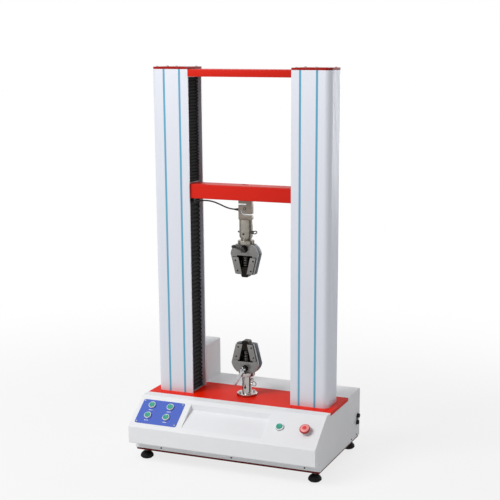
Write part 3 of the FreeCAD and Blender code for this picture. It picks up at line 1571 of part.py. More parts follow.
def grip_spring(name, mouth, up):
    """The coil that presses the jaws towards the mouth."""
    spring_low = yoke_high + S.spring_end_gap + S.spring_wire
    spring_high = S.wedge_height - S.spring_end_gap - S.spring_wire
    mean = S.spring_radius - S.spring_wire
    coil = doc.addObject("Part::Helix", name + "_line")
    bind(coil, Radius=mean, Height=spring_high - spring_low,
         Pitch=(spring_high - spring_low) / S.spring_turns)
    start = mouth + spring_low if up > 0 else mouth - spring_high
    seat(coil, 0, 0, start)
    ring = doc.addObject("Part::Circle", name + "_section")
    bind(ring, Radius=S.spring_wire)
    seat(ring, mean, 0, start, X_AXIS, 90)
    wire = doc.addObject("Part::Sweep", name)
    wire.Sections = [ring]
    wire.Spine = (coil, ["Edge1"])
    wire.Solid = True
    wire.Frenet = True


def grip_lever(name, mouth, up, reach, direction, knob_end):
    """The opening lever: cross-shaped hub, pin through the body, tapered handle."""
    level = mouth + up * S.hub_level
    hub_back = -grip_half_depth - S.hub_gap
    handle_back = -S.lock_radius - S.hub_gap
    hub_front = handle_back - S.handle_thick - S.hub_crown
    pieces = [
        rod(name + "_hub", 0, hub_front, level, S.hub_radius, hub_back - hub_front, "Y"),
        rod(name + "_pin", 0, hub_back - 1, level, S.hub_pin, S.grip_depth + S.hub_gap + 1, "Y"),
    ]
    bar_half = S.hub_bar / 2
    arms = new_body(name + "_arms")
    pad(arms, "XZ_Plane", name + "_arms_pad", [rectangle(
        -S.hub_bar_half, -bar_half, S.hub_bar_half, bar_half)], S.handle_thick, middle=False)
    seat(arms, 0, handle_back, level, Y_AXIS, direction)
    pieces.append(arms)
    root_half = S.handle_root / 2
    end_half = S.handle_end / 2
    if knob_end:
        end_half = root_half
    handle = new_body(name + "_handle")
    pad(handle, "XZ_Plane", name + "_handle_pad", [[
        (-root_half, -S.hub_bar_half), (root_half, -S.hub_bar_half),
        (end_half, reach - end_half, end_half * 1.1), (-end_half, reach - end_half),
    ]], S.handle_thick, middle=False)
    seat(handle, 0, handle_back, level, Y_AXIS, direction)
    pieces.append(handle)
    if knob_end:
        x = (reach - S.handle_knob) * sine(direction)
        z = level + (reach - S.handle_knob) * cosine(direction)
        knob_deep = S.handle_thick + S.handle_knob
        pieces.append(rod(name + "_knob", x, handle_back - knob_deep, z, S.handle_knob, knob_deep, "Y"))
    fuse(name, pieces)


for place, mouth, up, shank_radius, shank_end, cross_level, cross_radius in (
        ("upper", S.upper_mouth, 1, S.upper_shank, S.upper_shank_top, pin_level, S.pin_radius),
        ("lower", S.lower_mouth, -1, S.lower_shank, S.lower_shank_bottom, S.lower_pin_level,
         S.lower_pin_radius)):
    grip_body(place + "_grip_body", mouth, up, shank_radius, shank_end, cross_level, cross_radius)
    grip_rails(place + "_grip_rails", mouth, up)
    right_jaw = grip_jaw(place + "_jaw_right", mouth, up)
    mirrored(place + "_jaw_left", right_jaw)
    grip_yoke(place + "_jaw_yoke", mouth, up)
    grip_spring(place + "_jaw_spring", mouth, up)
grip_lever("upper_grip_lever", S.upper_mouth, 1, S.upper_handle_reach + S.handle_knob,
           -S.upper_handle_lean, True)
grip_lever("lower_grip_lever", S.lower_mouth, -1, S.lower_handle_reach,
           180 + S.lower_handle_lean, False)


# Levelling feet: rubber pad moulded round a stud, with a lock nut under the tray

for name, (x, y) in FEET.items():
    pad_top = S.foot_pad
    foot = turned(name + "_pad", [
        (0, 0), (S.foot_sole, 0), (S.foot_radius, S.foot_edge),
        (S.foot_radius, S.foot_band, S.foot_radius),
        (S.stud_radius + S.stud_land, pad_top), (S.stud_radius, pad_top),
        (S.stud_radius, pad_top + S.stud_length), (0, pad_top + S.stud_length),
    ])
    seat(foot, x, y, 0)
    nut_blank = doc.addObject("Part::Prism", name + "_nut_blank")
    nut_blank.Polygon = 6
    bind(nut_blank, Circumradius=S.nut_radius, Height=S.nut_height)
    seat(nut_blank, x, y, S.tray_bottom - S.nut_height)
    nut_bore = rod(name + "_nut_bore", x, y, S.tray_bottom - S.nut_height - 1,
                   S.stud_radius + S.bearing_fit, S.nut_height + 2)
    group(name, [foot, cut(name + "_nut", nut_blank, [nut_bore])])


# Screws of the frame: a flat head, and a threaded shank where the piece below is drilled

def screw(name, x, y, z, head_radius, head_height, thread_radius, thread_length):
    """A screw that stands upright, from the face that its head sits on."""
    head = rod(name + "_head", x, y, z, head_radius, head_height)
    shank = rod(name + "_shank", x, y, z - thread_length, thread_radius, thread_length + 1)
    return fuse(name, [head, shank])


frame_screws = []
for number, (x, y) in enumerate(TOP_SCREWS, start=1):
    top_screw = screw("top_screw_%d" % number, x, y, S.column_top + S.top_plate_thick,
                      S.head_radius, S.head_height, S.thread_radius, S.top_plate_thick)
    frame_screws += [top_screw, mirrored("top_screw_twin_%d" % number, top_screw)]
for number, (x, y) in enumerate(FLANGE_BOLTS, start=1):
    frame_screws.append(screw("flange_bolt_%d" % number, x, y, S.table_top + S.flange_thick,
                              S.flange_bolt_radius, S.flange_bolt_head, S.flange_bolt_thread,
                              S.flange_thick))
inset = S.panel_screw_inset
for number, (x, down) in enumerate([
        (-S.panel_left + inset, S.panel_upper + inset), (-S.panel_right - inset, S.panel_upper + inset),
        (-S.panel_left + inset, S.panel_lower - inset), (-S.panel_right - inset, S.panel_lower - inset),
], start=1):
    frame_screws.append(slope_rod("panel_screw_%d" % number, x, down, S.panel_thick,
                                  S.small_head_radius, S.small_head_height))
for number, x in enumerate((S.skirt_screw_left, S.skirt_screw_middle, S.skirt_screw_right), start=1):
    frame_screws.append(rod("skirt_screw_%d" % number, x, -S.toe_line - S.small_head_height,
                            S.skirt_screw_level, S.small_head_radius, S.small_head_height, "Y"))
for number, y in enumerate((S.side_screw_front, S.side_screw_rear), start=1):
    side_screw = rod("side_screw_%d" % number, half_width, y, S.side_screw_level,
                     S.small_head_radius, S.small_head_height, "X")
    frame_screws += [side_screw, mirrored("side_screw_twin_%d" % number, side_screw)]
group("frame_screws", frame_screws)

NODES = [
    "bottom_tray", "base_case", "table_plate", "motor_tower", "frame_screws", "control_panel",
    "button_bezels", "panel_button_1", "panel_button_2", "panel_button_3", "panel_button_4",
    "start_button", "emergency_stop_stem", "emergency_stop_cap", "side_sockets",
    "column_cover_left", "column_cover_right", "column_inserts", "column_top_plates", "top_beam",
    "guide_rods", "ball_screw_left", "ball_screw_right", "screw_bearings", "upper_bellows",
    "lower_bellows", "bellows_end_plates", "bellows_carriage_plates", "crosshead_beam",
    "crosshead_carriages", "drive_motor", "motor_pulley", "drive_belt", "drive_electronics",
    "load_cell", "load_cell_cable", "load_cell_fittings", "upper_adapter", "upper_pin",
    "upper_lock_ring", "upper_grip_body", "upper_grip_rails", "upper_jaw_left", "upper_jaw_right",
    "upper_jaw_yoke", "upper_jaw_spring", "upper_grip_lever", "lower_adapter", "lower_pin",
    "lower_grip_body", "lower_grip_rails", "lower_jaw_left", "lower_jaw_right", "lower_jaw_yoke",
    "lower_jaw_spring", "lower_grip_lever", "foot_front_left", "foot_front_right",
    "foot_rear_left", "foot_rear_right",
]


# Each sub-part is written to a file of its own name

def spoilt(item):
    """Whether the document marks an object as failed."""
    return any(mark in ("Invalid", "Error") for mark in item.State)


doc.recompute()
failed = [item.Name for item in doc.Objects if spoilt(item)]
if failed:
    raise SystemExit("failed features: " + ", ".join(failed))
for name in NODES:
    shape = doc.getObject(name).Shape
    if shape.isNull() or not shape.isValid() or not shape.Solids:
        raise SystemExit("no valid solid: " + name)
os.makedirs("parts", exist_ok=True)
for name in NODES:
    doc.getObject(name).Label = name
    doc.getObject(name).Shape.exportStep("parts/%s.step" % name)
print("wrote %d sub-parts" % len(NODES))
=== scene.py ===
# %% [markdown]
# # Force testing machine
# A bench machine that pulls or presses a specimen until it breaks. Two extruded columns stand on a
# folded steel base, a red crosshead climbs between them on hidden ball screws, and a load cell
# under the crosshead measures the force between two wedge grips. The solids come from the packed
# model, which is loaded here as a fixed frame. Everything below is finish, light and fine detail.

# %% Load the frame
import json
import math

import bmesh
import bpy
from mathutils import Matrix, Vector

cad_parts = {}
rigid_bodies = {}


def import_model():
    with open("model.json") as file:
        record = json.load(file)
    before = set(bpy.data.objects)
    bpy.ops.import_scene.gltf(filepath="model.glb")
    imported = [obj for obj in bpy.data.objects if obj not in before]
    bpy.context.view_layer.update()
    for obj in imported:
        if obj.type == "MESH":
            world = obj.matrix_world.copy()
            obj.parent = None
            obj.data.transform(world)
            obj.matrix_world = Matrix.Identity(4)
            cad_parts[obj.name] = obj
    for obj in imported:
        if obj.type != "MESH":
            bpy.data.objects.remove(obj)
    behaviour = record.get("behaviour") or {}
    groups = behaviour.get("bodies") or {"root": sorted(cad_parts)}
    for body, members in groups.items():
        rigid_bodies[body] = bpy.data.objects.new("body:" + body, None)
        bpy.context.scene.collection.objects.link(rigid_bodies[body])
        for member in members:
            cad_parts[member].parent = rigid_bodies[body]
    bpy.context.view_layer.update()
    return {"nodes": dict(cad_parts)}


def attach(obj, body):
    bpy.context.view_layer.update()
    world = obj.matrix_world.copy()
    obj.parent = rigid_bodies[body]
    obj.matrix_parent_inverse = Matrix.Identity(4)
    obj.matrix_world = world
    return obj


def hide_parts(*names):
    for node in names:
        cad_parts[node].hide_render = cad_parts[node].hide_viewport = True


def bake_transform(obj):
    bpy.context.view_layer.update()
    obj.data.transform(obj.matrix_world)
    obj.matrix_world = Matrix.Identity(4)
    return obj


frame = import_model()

MM = 0.001
nodes = frame["nodes"]

# %% [markdown]
# ## Colours and shader nodes
# Colours are written as they look on screen, in sRGB hex, and Blender wants linear light, so one
# function turns them. Every finish is a small node tree. A single helper adds a node, sets its
# options and fills its inputs, because that is all that any of the trees need.

# %% Colour and node helpers
def linear(hex_colour, alpha=1.0):
    """A colour written as sRGB hex, as the linear RGBA that Blender works in."""
    channels = [int(hex_colour[i:i + 2], 16) / 255 for i in (0, 2, 4)]
    return [c / 12.92 if c <= 0.04045 else ((c + 0.055) / 1.055) ** 2.4 for c in channels] + [alpha]


def add_node(tree, kind, inputs=None, **settings):
    """Adds one node with its options, and fills its inputs with values or with other sockets."""
    made = tree.nodes.new(kind)
    for name, setting in settings.items():
        setattr(made, name, setting)
    for name, filling in (inputs or {}).items():
        if isinstance(filling, bpy.types.NodeSocket):
            tree.links.new(filling, made.inputs[name])
        else:
            made.inputs[name].default_value = filling
    return made


def new_finish(name):
    """An empty material, with its tree, its shader and its pattern space in metres."""
    material = bpy.data.materials.new(name)
    material.use_nodes = True
    tree = material.node_tree
    tree.nodes.clear()
    shader = add_node(tree, "ShaderNodeBsdfPrincipled")
    add_node(tree, "ShaderNodeOutputMaterial", {"Surface": shader.outputs["BSDF"]})
    space = add_node(tree, "ShaderNodeTexCoord").outputs["Object"]
    return material, tree, shader, space


def grains(size_mm):
    """The Scale of a noise or Voronoi whose grains are this many millimetres across."""
    return 1 / (size_mm * MM)


# A Mix node that mixes colours has its colour sockets at these places
MIX_A, MIX_B, MIXED = 6, 7, 2
print("white in linear light:", linear("FFFFFF"))

# %% [markdown]
# ## Paints
# The machine's sheet steel and its crosshead are painted. Paint isn't quite flat and not quite one
# colour: it dries with a faint peel, a few tenths of a millimetre to two across, its gloss wanders,
# and its shade drifts over a hand's width. A fine Noise drives a Bump for the peel, and a broad one
# moves colour and gloss. The coats differ only in those numbers, so one function makes them all.

# %% Paints
def painted(name, shade, deep_shade, gloss, peel_mm, peel_depth_mm, shine=0.5):
    """A sprayed coat between two shades, its roughness a little to each side of gloss."""
    material, tree, shader, space = new_finish(name)
    drift = add_node(tree, "ShaderNodeTexNoise", {"Vector": space, "Scale": grains(90), "Detail": 2})
    coat = add_node(tree, "ShaderNodeMix", {"Factor": drift.outputs["Fac"], MIX_A: linear(shade),
                                            MIX_B: linear(deep_shade)}, data_type="RGBA")
    wander = add_node(tree, "ShaderNodeMapRange", {"Value": drift.outputs["Fac"],
                                                   "To Min": gloss - 0.05, "To Max": gloss + 0.05})
    peel = add_node(tree, "ShaderNodeTexNoise", {"Vector": space, "Scale": grains(peel_mm),
                                                 "Detail": 2})
    skin = add_node(tree, "ShaderNodeBump", {"Height": peel.outputs["Fac"], "Strength": 1,
                                             "Distance": peel_depth_mm * MM})
    tree.links.new(coat.outputs[MIXED], shader.inputs["Base Color"])
    tree.links.new(wander.outputs["Result"], shader.inputs["Roughness"])
    tree.links.new(skin.outputs["Normal"], shader.inputs["Normal"])
    shader.inputs["IOR"].default_value = 1.5
    shader.inputs["Specular IOR Level"].default_value = shine
    return material


# Baked enamel: a deep red, semi-gloss, with an orange peel about 2 mm across
red_enamel = painted("red_stove_enamel", "D8210F", "CF1D0D", 0.42, 2.0, 0.010, shine=0.2)
# The table plate mirrors the columns in the photograph, so its coat is smoother. Its shine is kept
# low, because the white room would wash out its red.
table_enamel = painted("table_enamel", "F02406", "E61E04", 0.3, 2.0, 0.008, shine=0.02)
# The tray under the base is a darker copy of the red enamel, which is painted shade
tray_enamel_painted_shade = painted("tray_enamel_painted_shade", "6E1610", "62120D", 0.45, 2.0, 0.010, shine=0.1)
# The plates on the columns are a darker copy of the beams' red, which is painted shade
plate_enamel_painted_shade = painted("plate_enamel_painted_shade", "A82014", "981A0F", 0.45, 2.0, 0.010, shine=0.1)
# Epoxy powder coat of the base and the tower: cool white, satin, with a finer and deeper peel
white_powder = painted("white_powder_coat", "F0F1F3", "EBECEF", 0.45, 1.2, 0.012, shine=0.4)
# Machine paint on the parts of the drive
grey_paint = painted("grey_machine_paint", "8D9297", "85898E", 0.5, 1.5, 0.02)
print("paints:", red_enamel.name, table_enamel.name, tray_enamel_painted_shade.name, plate_enamel_painted_shade.name,
      white_powder.name, grey_paint.name)

# %% [markdown]
# ## Extrusions and strips
# The column covers are aluminium extrusions with a pale satin anodised skin, and blue plastic strips
# are pushed into grooves down their length. Both were drawn through a die, which leaves fine lines
# along Z. A Noise squeezed across and stretched along Z draws them, 0.8 mm apart, which is coarser
# than the real lines so that they still show.

# %% Extrusions and strips
def drawn(name, shade, deep_shade, gloss, metallic, line_mm, line_depth_mm):
    """A surface drawn through a die, with fine lines along Z."""
    material, tree, shader, space = new_finish(name)
    along_z = add_node(tree, "ShaderNodeMapping", {"Vector": space, "Scale": (1, 1, 0.004)})
    lines = add_node(tree, "ShaderNodeTexNoise", {"Vector": along_z.outputs["Vector"],
                                                  "Scale": grains(line_mm), "Detail": 3})
    coat = add_node(tree, "ShaderNodeMix", {"Factor": lines.outputs["Fac"], MIX_A: linear(shade),
                                            MIX_B: linear(deep_shade)}, data_type="RGBA")
    skin = add_node(tree, "ShaderNodeBump", {"Height": lines.outputs["Fac"], "Strength": 1,
                                             "Distance": line_depth_mm * MM})
    tree.links.new(coat.outputs[MIXED], shader.inputs["Base Color"])
    tree.links.new(skin.outputs["Normal"], shader.inputs["Normal"])
    shader.inputs["Roughness"].default_value = gloss
    shader.inputs["Metallic"].default_value = metallic
    return material


# Satin anodised covers, a cool pale grey that is half metal and half oxide
column_coat = drawn("satin_anodised_aluminium", "DDE0E8", "D6D9E2", 0.42, 0.35, 0.8, 0.004)
# Extruded vinyl strips, sky blue
strip_vinyl = drawn("blue_vinyl_strip", "63AAC9", "5AA0BF", 0.4, 0.0, 0.8, 0.004)
print("drawn:", column_coat.name, strip_vinyl.name)

# %% [markdown]
# ## Machined metals
# The grips, the adapters, the load cell and the pins are steel and aluminium, milled, turned and
# ground. The tool leaves short marks in one direction, which spread the light and break up the
# reflections. The marks come from a Noise stretched along that direction, and a broad Noise lets
# the metal go from clean to lightly handled, which is duller. An oil film and a thin oxide cover
# the big forgings, so those are only part bare metal. Metals keep the default IOR.

# %% Machined metals
def machined(name, shade, deep_shade, gloss, stretch, mark_mm, mark_depth_mm, bare=1.0):
    """Cut or ground metal with marks drawn out by the factors of stretch."""
    material, tree, shader, space = new_finish(name)
    drawn_out = add_node(tree, "ShaderNodeMapping", {"Vector": space, "Scale": stretch})
    marks = add_node(tree, "ShaderNodeTexNoise", {"Vector": drawn_out.outputs["Vector"],
                                                  "Scale": grains(mark_mm), "Detail": 3})
    handling = add_node(tree, "ShaderNodeTexNoise", {"Vector": space, "Scale": grains(14),
                                                     "Detail": 3})
    metal = add_node(tree, "ShaderNodeMix", {"Factor": handling.outputs["Fac"],
                                             MIX_A: linear(shade), MIX_B: linear(deep_shade)},
                     data_type="RGBA")
    dulling = add_node(tree, "ShaderNodeMapRange", {"Value": handling.outputs["Fac"],
                                                    "From Min": 0.3, "From Max": 0.7,
                                                    "To Min": gloss - 0.06, "To Max": gloss + 0.1})
    skin = add_node(tree, "ShaderNodeBump", {"Height": marks.outputs["Fac"], "Strength": 1,
                                             "Distance": mark_depth_mm * MM})
    tree.links.new(metal.outputs[MIXED], shader.inputs["Base Color"])
    tree.links.new(dulling.outputs["Result"], shader.inputs["Roughness"])
    tree.links.new(skin.outputs["Normal"], shader.inputs["Normal"])
    shader.inputs["Metallic"].default_value = bare
    return material


# Ground tool steel of the grips, marks along X
ground_steel = machined("ground_tool_steel", "8C8B89", "6F6E6C", 0.32, (0.06, 1, 1), 0.5, 0.006,
                        bare=0.6)
# Dark blue-grey painted shade on the sides of the grips and their rails
side_shade_steel = machined("painted_side_shade_steel", "363D46", "272C33", 0.42, (1, 1, 0.3), 0.8, 0.010,
                       bare=0.85)
# Turned steel of the upper adapter, its lock ring and the lower pin's wire ring, with marks round
# the bar, so flat in Z
turned_steel = machined("turned_steel", "AAA59B", "858078", 0.26, (0.3, 0.3, 2.5), 0.6, 0.008,
                        bare=0.6)
# Dark oiled steel of the upper lever, the hub of the lower one and the upper pin
oiled_steel = machined("oil_darkened_steel", "4A4845", "2E2C2A", 0.36, (0.3, 0.3, 2.5), 0.6, 0.008,
                       bare=0.7)
# Spring wire, drawn and blued
spring_wire = machined("blued_spring_wire", "64605B", "4A4743", 0.28, (1, 1, 1), 0.6, 0.004)
# The lower socket looks chromed
hard_chrome = machined("hard_chrome", "BDB6B4", "9C9593", 0.14, (0.3, 0.3, 2.5), 0.6, 0.003)
# Bright zinc on screws, the cell's fittings, the lower pin and the lower lever, no marks to speak
# of. On the grips' edges it is a painted highlight, and it also covers the walls of the cell's slits
zinc_and_edge_highlight = machined("bright_zinc_and_painted_highlight", "D2D3D4", "B9BABC", 0.2, (1, 1, 1), 1.0, 0.003)
# Steel blackened in an oil bath on the jaws, yokes and small screws. The same black is painted
# shade on the throat pieces, the rail shims and the hub washers
blackened_and_shade_steel = machined("oil_blackened_steel", "2E2A27", "1B1917", 0.38, (1, 1, 1), 0.4, 0.01)
# Load cell of nickel-plated alloy steel, milled along Z
cell_nickel = machined("nickel_plated_cell", "938A80", "7C7269", 0.32, (1, 1, 0.1), 0.5, 0.005,
                       bare=0.5)
# Rolled and hardened ball screws and guide rods, marks round the bar
rod_steel = machined("hardened_rod_steel", "C4C4C2", "A9A9A8", 0.16, (0.3, 0.3, 2.5), 0.5, 0.004)
print("metals:", ground_steel.name, side_shade_steel.name, turned_steel.name, oiled_steel.name,
      spring_wire.name, hard_chrome.name, zinc_and_edge_highlight.name, blackened_and_shade_steel.name,
      cell_nickel.name, rod_steel.name)

# %% [markdown]
# ## Plastics and rubber
# Buttons and sockets are injection moulded: one colour all through, the tool's fine grain on the
# skin, and a little light let in, which a small subsurface weight gives. Rubber feet and the belt
# are the same with a duller skin and no light let in.

# %% Plastics and rubber
def moulded(name, shade, gloss, grain_mm, grain_depth_mm, glow=0.0, ior=1.53, shine=0.5):
    """A moulded plastic or rubber with a fine skin grain, and some light inside it."""
    material, tree, shader, space = new_finish(name)
    grain = add_node(tree, "ShaderNodeTexNoise", {"Vector": space, "Scale": grains(grain_mm),
                                                  "Detail": 2})
    skin = add_node(tree, "ShaderNodeBump", {"Height": grain.outputs["Fac"], "Strength": 1,
                                             "Distance": grain_depth_mm * MM})
    wander = add_node(tree, "ShaderNodeMapRange", {"Value": grain.outputs["Fac"],
                                                   "To Min": gloss - 0.04, "To Max": gloss + 0.04})
    tree.links.new(skin.outputs["Normal"], shader.inputs["Normal"])
    tree.links.new(wander.outputs["Result"], shader.inputs["Roughness"])
    shader.inputs["Base Color"].default_value = linear(shade)
    shader.inputs["IOR"].default_value = ior
    shader.inputs["Specular IOR Level"].default_value = shine
    shader.inputs["Subsurface Weight"].default_value = glow
    shader.inputs["Subsurface Scale"].default_value = 2 * MM
    return material


# Green polycarbonate push buttons, lit from behind when on, so slightly clear
button_green = moulded("green_polycarbonate", "2FA48C", 0.22, 1.0, 0.002, glow=0.15)
# Red nylon of the stop button
stop_red = moulded("red_nylon", "E23A3C", 0.28, 1.0, 0.003, glow=0.05)
# A paler copy of the same nylon, a painted highlight in a band round its crown
stop_highlight = moulded("pale_red_nylon", "F29A98", 0.34, 1.0, 0.003, glow=0.05)
# Pale satin collar and stem of the stop button
bezel_grey = moulded("pale_satin_bezel", "D5D8DB", 0.3, 0.8, 0.004)
# Rims of the push buttons, glossy white plastic
rim_white = moulded("glossy_white_rim", "F4F7F8", 0.16, 0.8, 0.002)
# A deeper copy of the same nylon, painted shade on the stop button's flank and underside
stop_shade = moulded("deep_red_nylon", "B3262B", 0.3, 1.0, 0.003)
# Black ABS with a spark-eroded grain, 0.8 mm. The same black is painted shade under the push
# buttons' rims, on the hub caps and on the sight bushes
black_abs_and_shade = moulded("black_abs_and_shade", "151617", 0.5, 0.8, 0.02, shine=0.3)
# Vulcanised rubber: feet, belt and the cable's boot
black_rubber = moulded("black_rubber", "121213", 0.7, 0.9, 0.02, ior=1.52, shine=0.2)
# Dark PVC sleeve of the load cell's cable
cable_sleeve = moulded("dark_pvc_sleeve", "242426", 0.42, 0.9, 0.006, ior=1.54)
print("plastics:", button_green.name, stop_red.name, stop_highlight.name, stop_shade.name,
      rim_white.name, bezel_grey.name, black_abs_and_shade.name, black_rubber.name, cable_sleeve.name)

# %% [markdown]
# ## Bellows cloth
# Rubber-coated polyester: black, dull, and its weave shows through the coat as small bumps. The
# real threads are 0.4 mm apart, too fine for this picture, so two Wave bands that cross at 1.2 mm
# stand for them. Dust gathers on such cloth, so a broad Noise lifts the black here and there.

# %% Bellows cloth
bellows_cloth, tree, shader, space = new_finish("rubber_coated_cloth")
THREAD_PITCH = 1.2
thread_scale = math.pi / 10 / (THREAD_PITCH * MM)
warp = add_node(tree, "ShaderNodeTexWave", {"Vector": space, "Scale": thread_scale},
                bands_direction="Y")
weft = add_node(tree, "ShaderNodeTexWave", {"Vector": space, "Scale": thread_scale},
                bands_direction="Z")
crossing = add_node(tree, "ShaderNodeMath", {0: warp.outputs["Fac"], 1: weft.outputs["Fac"]},
                    operation="MULTIPLY")
weave = add_node(tree, "ShaderNodeBump", {"Height": crossing.outputs[0], "Strength": 0.6,
                                          "Distance": 0.06 * MM})
dust = add_node(tree, "ShaderNodeTexNoise", {"Vector": space, "Scale": grains(40), "Detail": 3})
black = add_node(tree, "ShaderNodeMix", {"Factor": dust.outputs["Fac"], MIX_A: linear("0A0A0B"),
                                         MIX_B: linear("121314")}, data_type="RGBA")
tree.links.new(black.outputs[MIXED], shader.inputs["Base Color"])
tree.links.new(weave.outputs["Normal"], shader.inputs["Normal"])
shader.inputs["Roughness"].default_value = 0.75
shader.inputs["IOR"].default_value = 1.52
shader.inputs["Specular IOR Level"].default_value = 0.2
print("cloth:", bellows_cloth.name, "thread pitch in mm:", THREAD_PITCH)

# %% [markdown]
# ## Panel foil
# The buttons sit in a blue polyester foil glued on a plate. Real captions name what each button
# does, and here they stay blank bars. Such foil is printed from behind, so the blue lies under a
# smooth skin. The bars are pieces of their own with a finish of their own, and the circuit board
# inside the base is lacquered much like them.

# %% Panel foil
panel_foil = moulded("blue_polyester_foil", "3F5FC4", 0.24, 1.4, 0.004, ior=1.6)
foil_print = moulded("white_foil_print", "E9ECF4", 0.3, 1.4, 0.004, ior=1.6)
board_green = moulded("green_circuit_board", "1F6B45", 0.4, 1.2, 0.01, ior=1.5)
print("foil:", panel_foil.name, foil_print.name, board_green.name)

# %% [markdown]
# ## Finishes on the solids
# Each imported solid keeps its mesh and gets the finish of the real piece. An import leaves its own
# plain materials on the meshes, so those slots are cleared first.

# %% Finishes on the solids
FINISHES = {
    red_enamel: ["top_beam", "crosshead_beam"],
    plate_enamel_painted_shade: ["column_top_plates"],
    table_enamel: ["table_plate"],
    tray_enamel_painted_shade: ["bottom_tray"],
    white_powder: ["base_case", "motor_tower"],
    column_coat: ["column_cover_left", "column_cover_right"],
    strip_vinyl: ["column_inserts"],
    panel_foil: ["control_panel"],
    button_green: ["panel_button_1", "panel_button_2", "panel_button_3", "panel_button_4",
                   "start_button"],
    stop_red: ["emergency_stop_cap"],
    bezel_grey: ["button_bezels", "emergency_stop_stem"],
    black_abs_and_shade: ["side_sockets", "drive_motor"],
    rod_steel: ["guide_rods", "ball_screw_left", "ball_screw_right", "motor_pulley"],
    grey_paint: ["screw_bearings", "bellows_end_plates", "bellows_carriage_plates",
                 "crosshead_carriages"],
    bellows_cloth: ["upper_bellows", "lower_bellows"],
    black_rubber: ["drive_belt", "foot_front_left", "foot_front_right", "foot_rear_left",
                   "foot_rear_right"],
    cable_sleeve: ["load_cell_cable"],
    board_green: ["drive_electronics"],
    cell_nickel: ["load_cell"],
    oiled_steel: ["upper_pin"],
    turned_steel: ["upper_adapter", "upper_lock_ring", "lower_adapter"],
    ground_steel: ["upper_grip_body", "upper_grip_rails", "lower_grip_body", "lower_grip_rails"],
    blackened_and_shade_steel: ["upper_jaw_left", "upper_jaw_right", "upper_jaw_yoke", "lower_jaw_left",
                      "lower_jaw_right", "lower_jaw_yoke"],
    zinc_and_edge_highlight: ["frame_screws", "load_cell_fittings", "lower_pin", "upper_jaw_spring",
                  "lower_jaw_spring", "upper_grip_lever", "lower_grip_lever"],
}
for finish, names in FINISHES.items():
    for name in names:
        nodes[name].data.materials.clear()
        nodes[name].data.materials.append(finish)
finished = sum(len(names) for names in FINISHES.values())
print("solids finished:", finished, "of", len(nodes))

# %% [markdown]
# ## Camera
# The photograph was taken from the front and to the right, a little above the machine's middle,
# with a long lens. Its place, its two angles and its lens come from a fit of the machine's edges
# to the picture. The picture is cropped off the lens axis, which the camera's shift repeats.

# %% Camera
PICTURE = 500
LENS_PIXELS = 1165.24
AXIS_PIXEL = (276.37, 332.96)
CAMERA_PLACE = (1.6865, -3.9238, 1.5340)
CAMERA_PITCH = 13.857
CAMERA_YAW = 21.756
camera_data = bpy.data.cameras.new("camera")
camera_data.sensor_width = 36
camera_data.lens = LENS_PIXELS / PICTURE * camera_data.sensor_width
camera_data.shift_x = (PICTURE / 2 - AXIS_PIXEL[0]) / PICTURE
camera_data.shift_y = (AXIS_PIXEL[1] - PICTURE / 2) / PICTURE
camera = bpy.data.objects.new("camera", camera_data)
camera.location = CAMERA_PLACE
camera.rotation_euler = (math.radians(90 - CAMERA_PITCH), 0, math.radians(CAMERA_YAW))
bpy.context.scene.collection.objects.link(camera)
bpy.context.scene.camera = camera
bpy.context.scene.view_settings.view_transform = "Standard"
print("lens in mm:", round(camera_data.lens, 1))

# %% [markdown]
# ## Floor and white room
# The machine stands on a pale studio floor that runs into white. The world is white to the camera
# and in reflections, through Light Path, and lights the machine more softly than that. The floor
# mixes a plain diffuse, which keeps the machine's shadow, with a white that only the camera and
# reflections see. The share of that white grows with the distance from the machine, so the shadow
# stays and the far edge melts into the room.

# %% Floor and white room
WORLD_LIGHT = 0.32
world = bpy.data.worlds.new("white_room")
bpy.context.scene.world = world
world.use_nodes = True
tree = world.node_tree
tree.nodes.clear()


def seen_directly(tree):
    """1 for rays that show a surface to the camera, straight or by mirror or glass, else 0."""
    rays = add_node(tree, "ShaderNodeLightPath")
    mirrored = add_node(tree, "ShaderNodeMath", {0: rays.outputs["Is Camera Ray"],
                                                 1: rays.outputs["Is Glossy Ray"]},
                        operation="MAXIMUM")
    return add_node(tree, "ShaderNodeMath", {0: mirrored.outputs[0],
                                             1: rays.outputs["Is Transmission Ray"]},
                    operation="MAXIMUM").outputs[0]


lighting = add_node(tree, "ShaderNodeBackground", {"Color": linear("FFFFFF"),
                                                   "Strength": WORLD_LIGHT})
backdrop = add_node(tree, "ShaderNodeBackground", {"Color": linear("FFFFFF"), "Strength": 1.0})
room = add_node(tree, "ShaderNodeMixShader", {0: seen_directly(tree),
                                              1: lighting.outputs["Background"],
                                              2: backdrop.outputs["Background"]})
add_node(tree, "ShaderNodeOutputWorld", {"Surface": room.outputs["Shader"]})

FLOOR_SIZE = 60
FLOOR_NEAR = 0.78
WHITE_FROM, WHITE_TO = 0.7, 3.0
bpy.ops.object.select_all(action="DESELECT")
bpy.ops.mesh.primitive_plane_add(size=FLOOR_SIZE, location=(0, 0, 0))
floor = bpy.context.active_object
floor.name = "floor"
floor_paint = bpy.data.materials.new("pale_floor")
floor_paint.use_nodes = True
tree = floor_paint.node_tree
tree.nodes.clear()
matt = add_node(tree, "ShaderNodeBsdfDiffuse", {"Color": linear("E0E0E0")})
white = add_node(tree, "ShaderNodeEmission", {"Color": linear("FFFFFF"), "Strength": 1.0})
place = add_node(tree, "ShaderNodeTexCoord").outputs["Object"]
away = add_node(tree, "ShaderNodeVectorMath", {0: place}, operation="LENGTH")
whiteness = add_node(tree, "ShaderNodeMapRange", {
    "Value": away.outputs["Value"], "From Min": WHITE_FROM, "From Max": WHITE_TO,
    "To Min": FLOOR_NEAR, "To Max": 1.0}, interpolation_type="SMOOTHSTEP")
share = add_node(tree, "ShaderNodeMath", {0: seen_directly(tree),
                                          1: whiteness.outputs["Result"]}, operation="MULTIPLY")
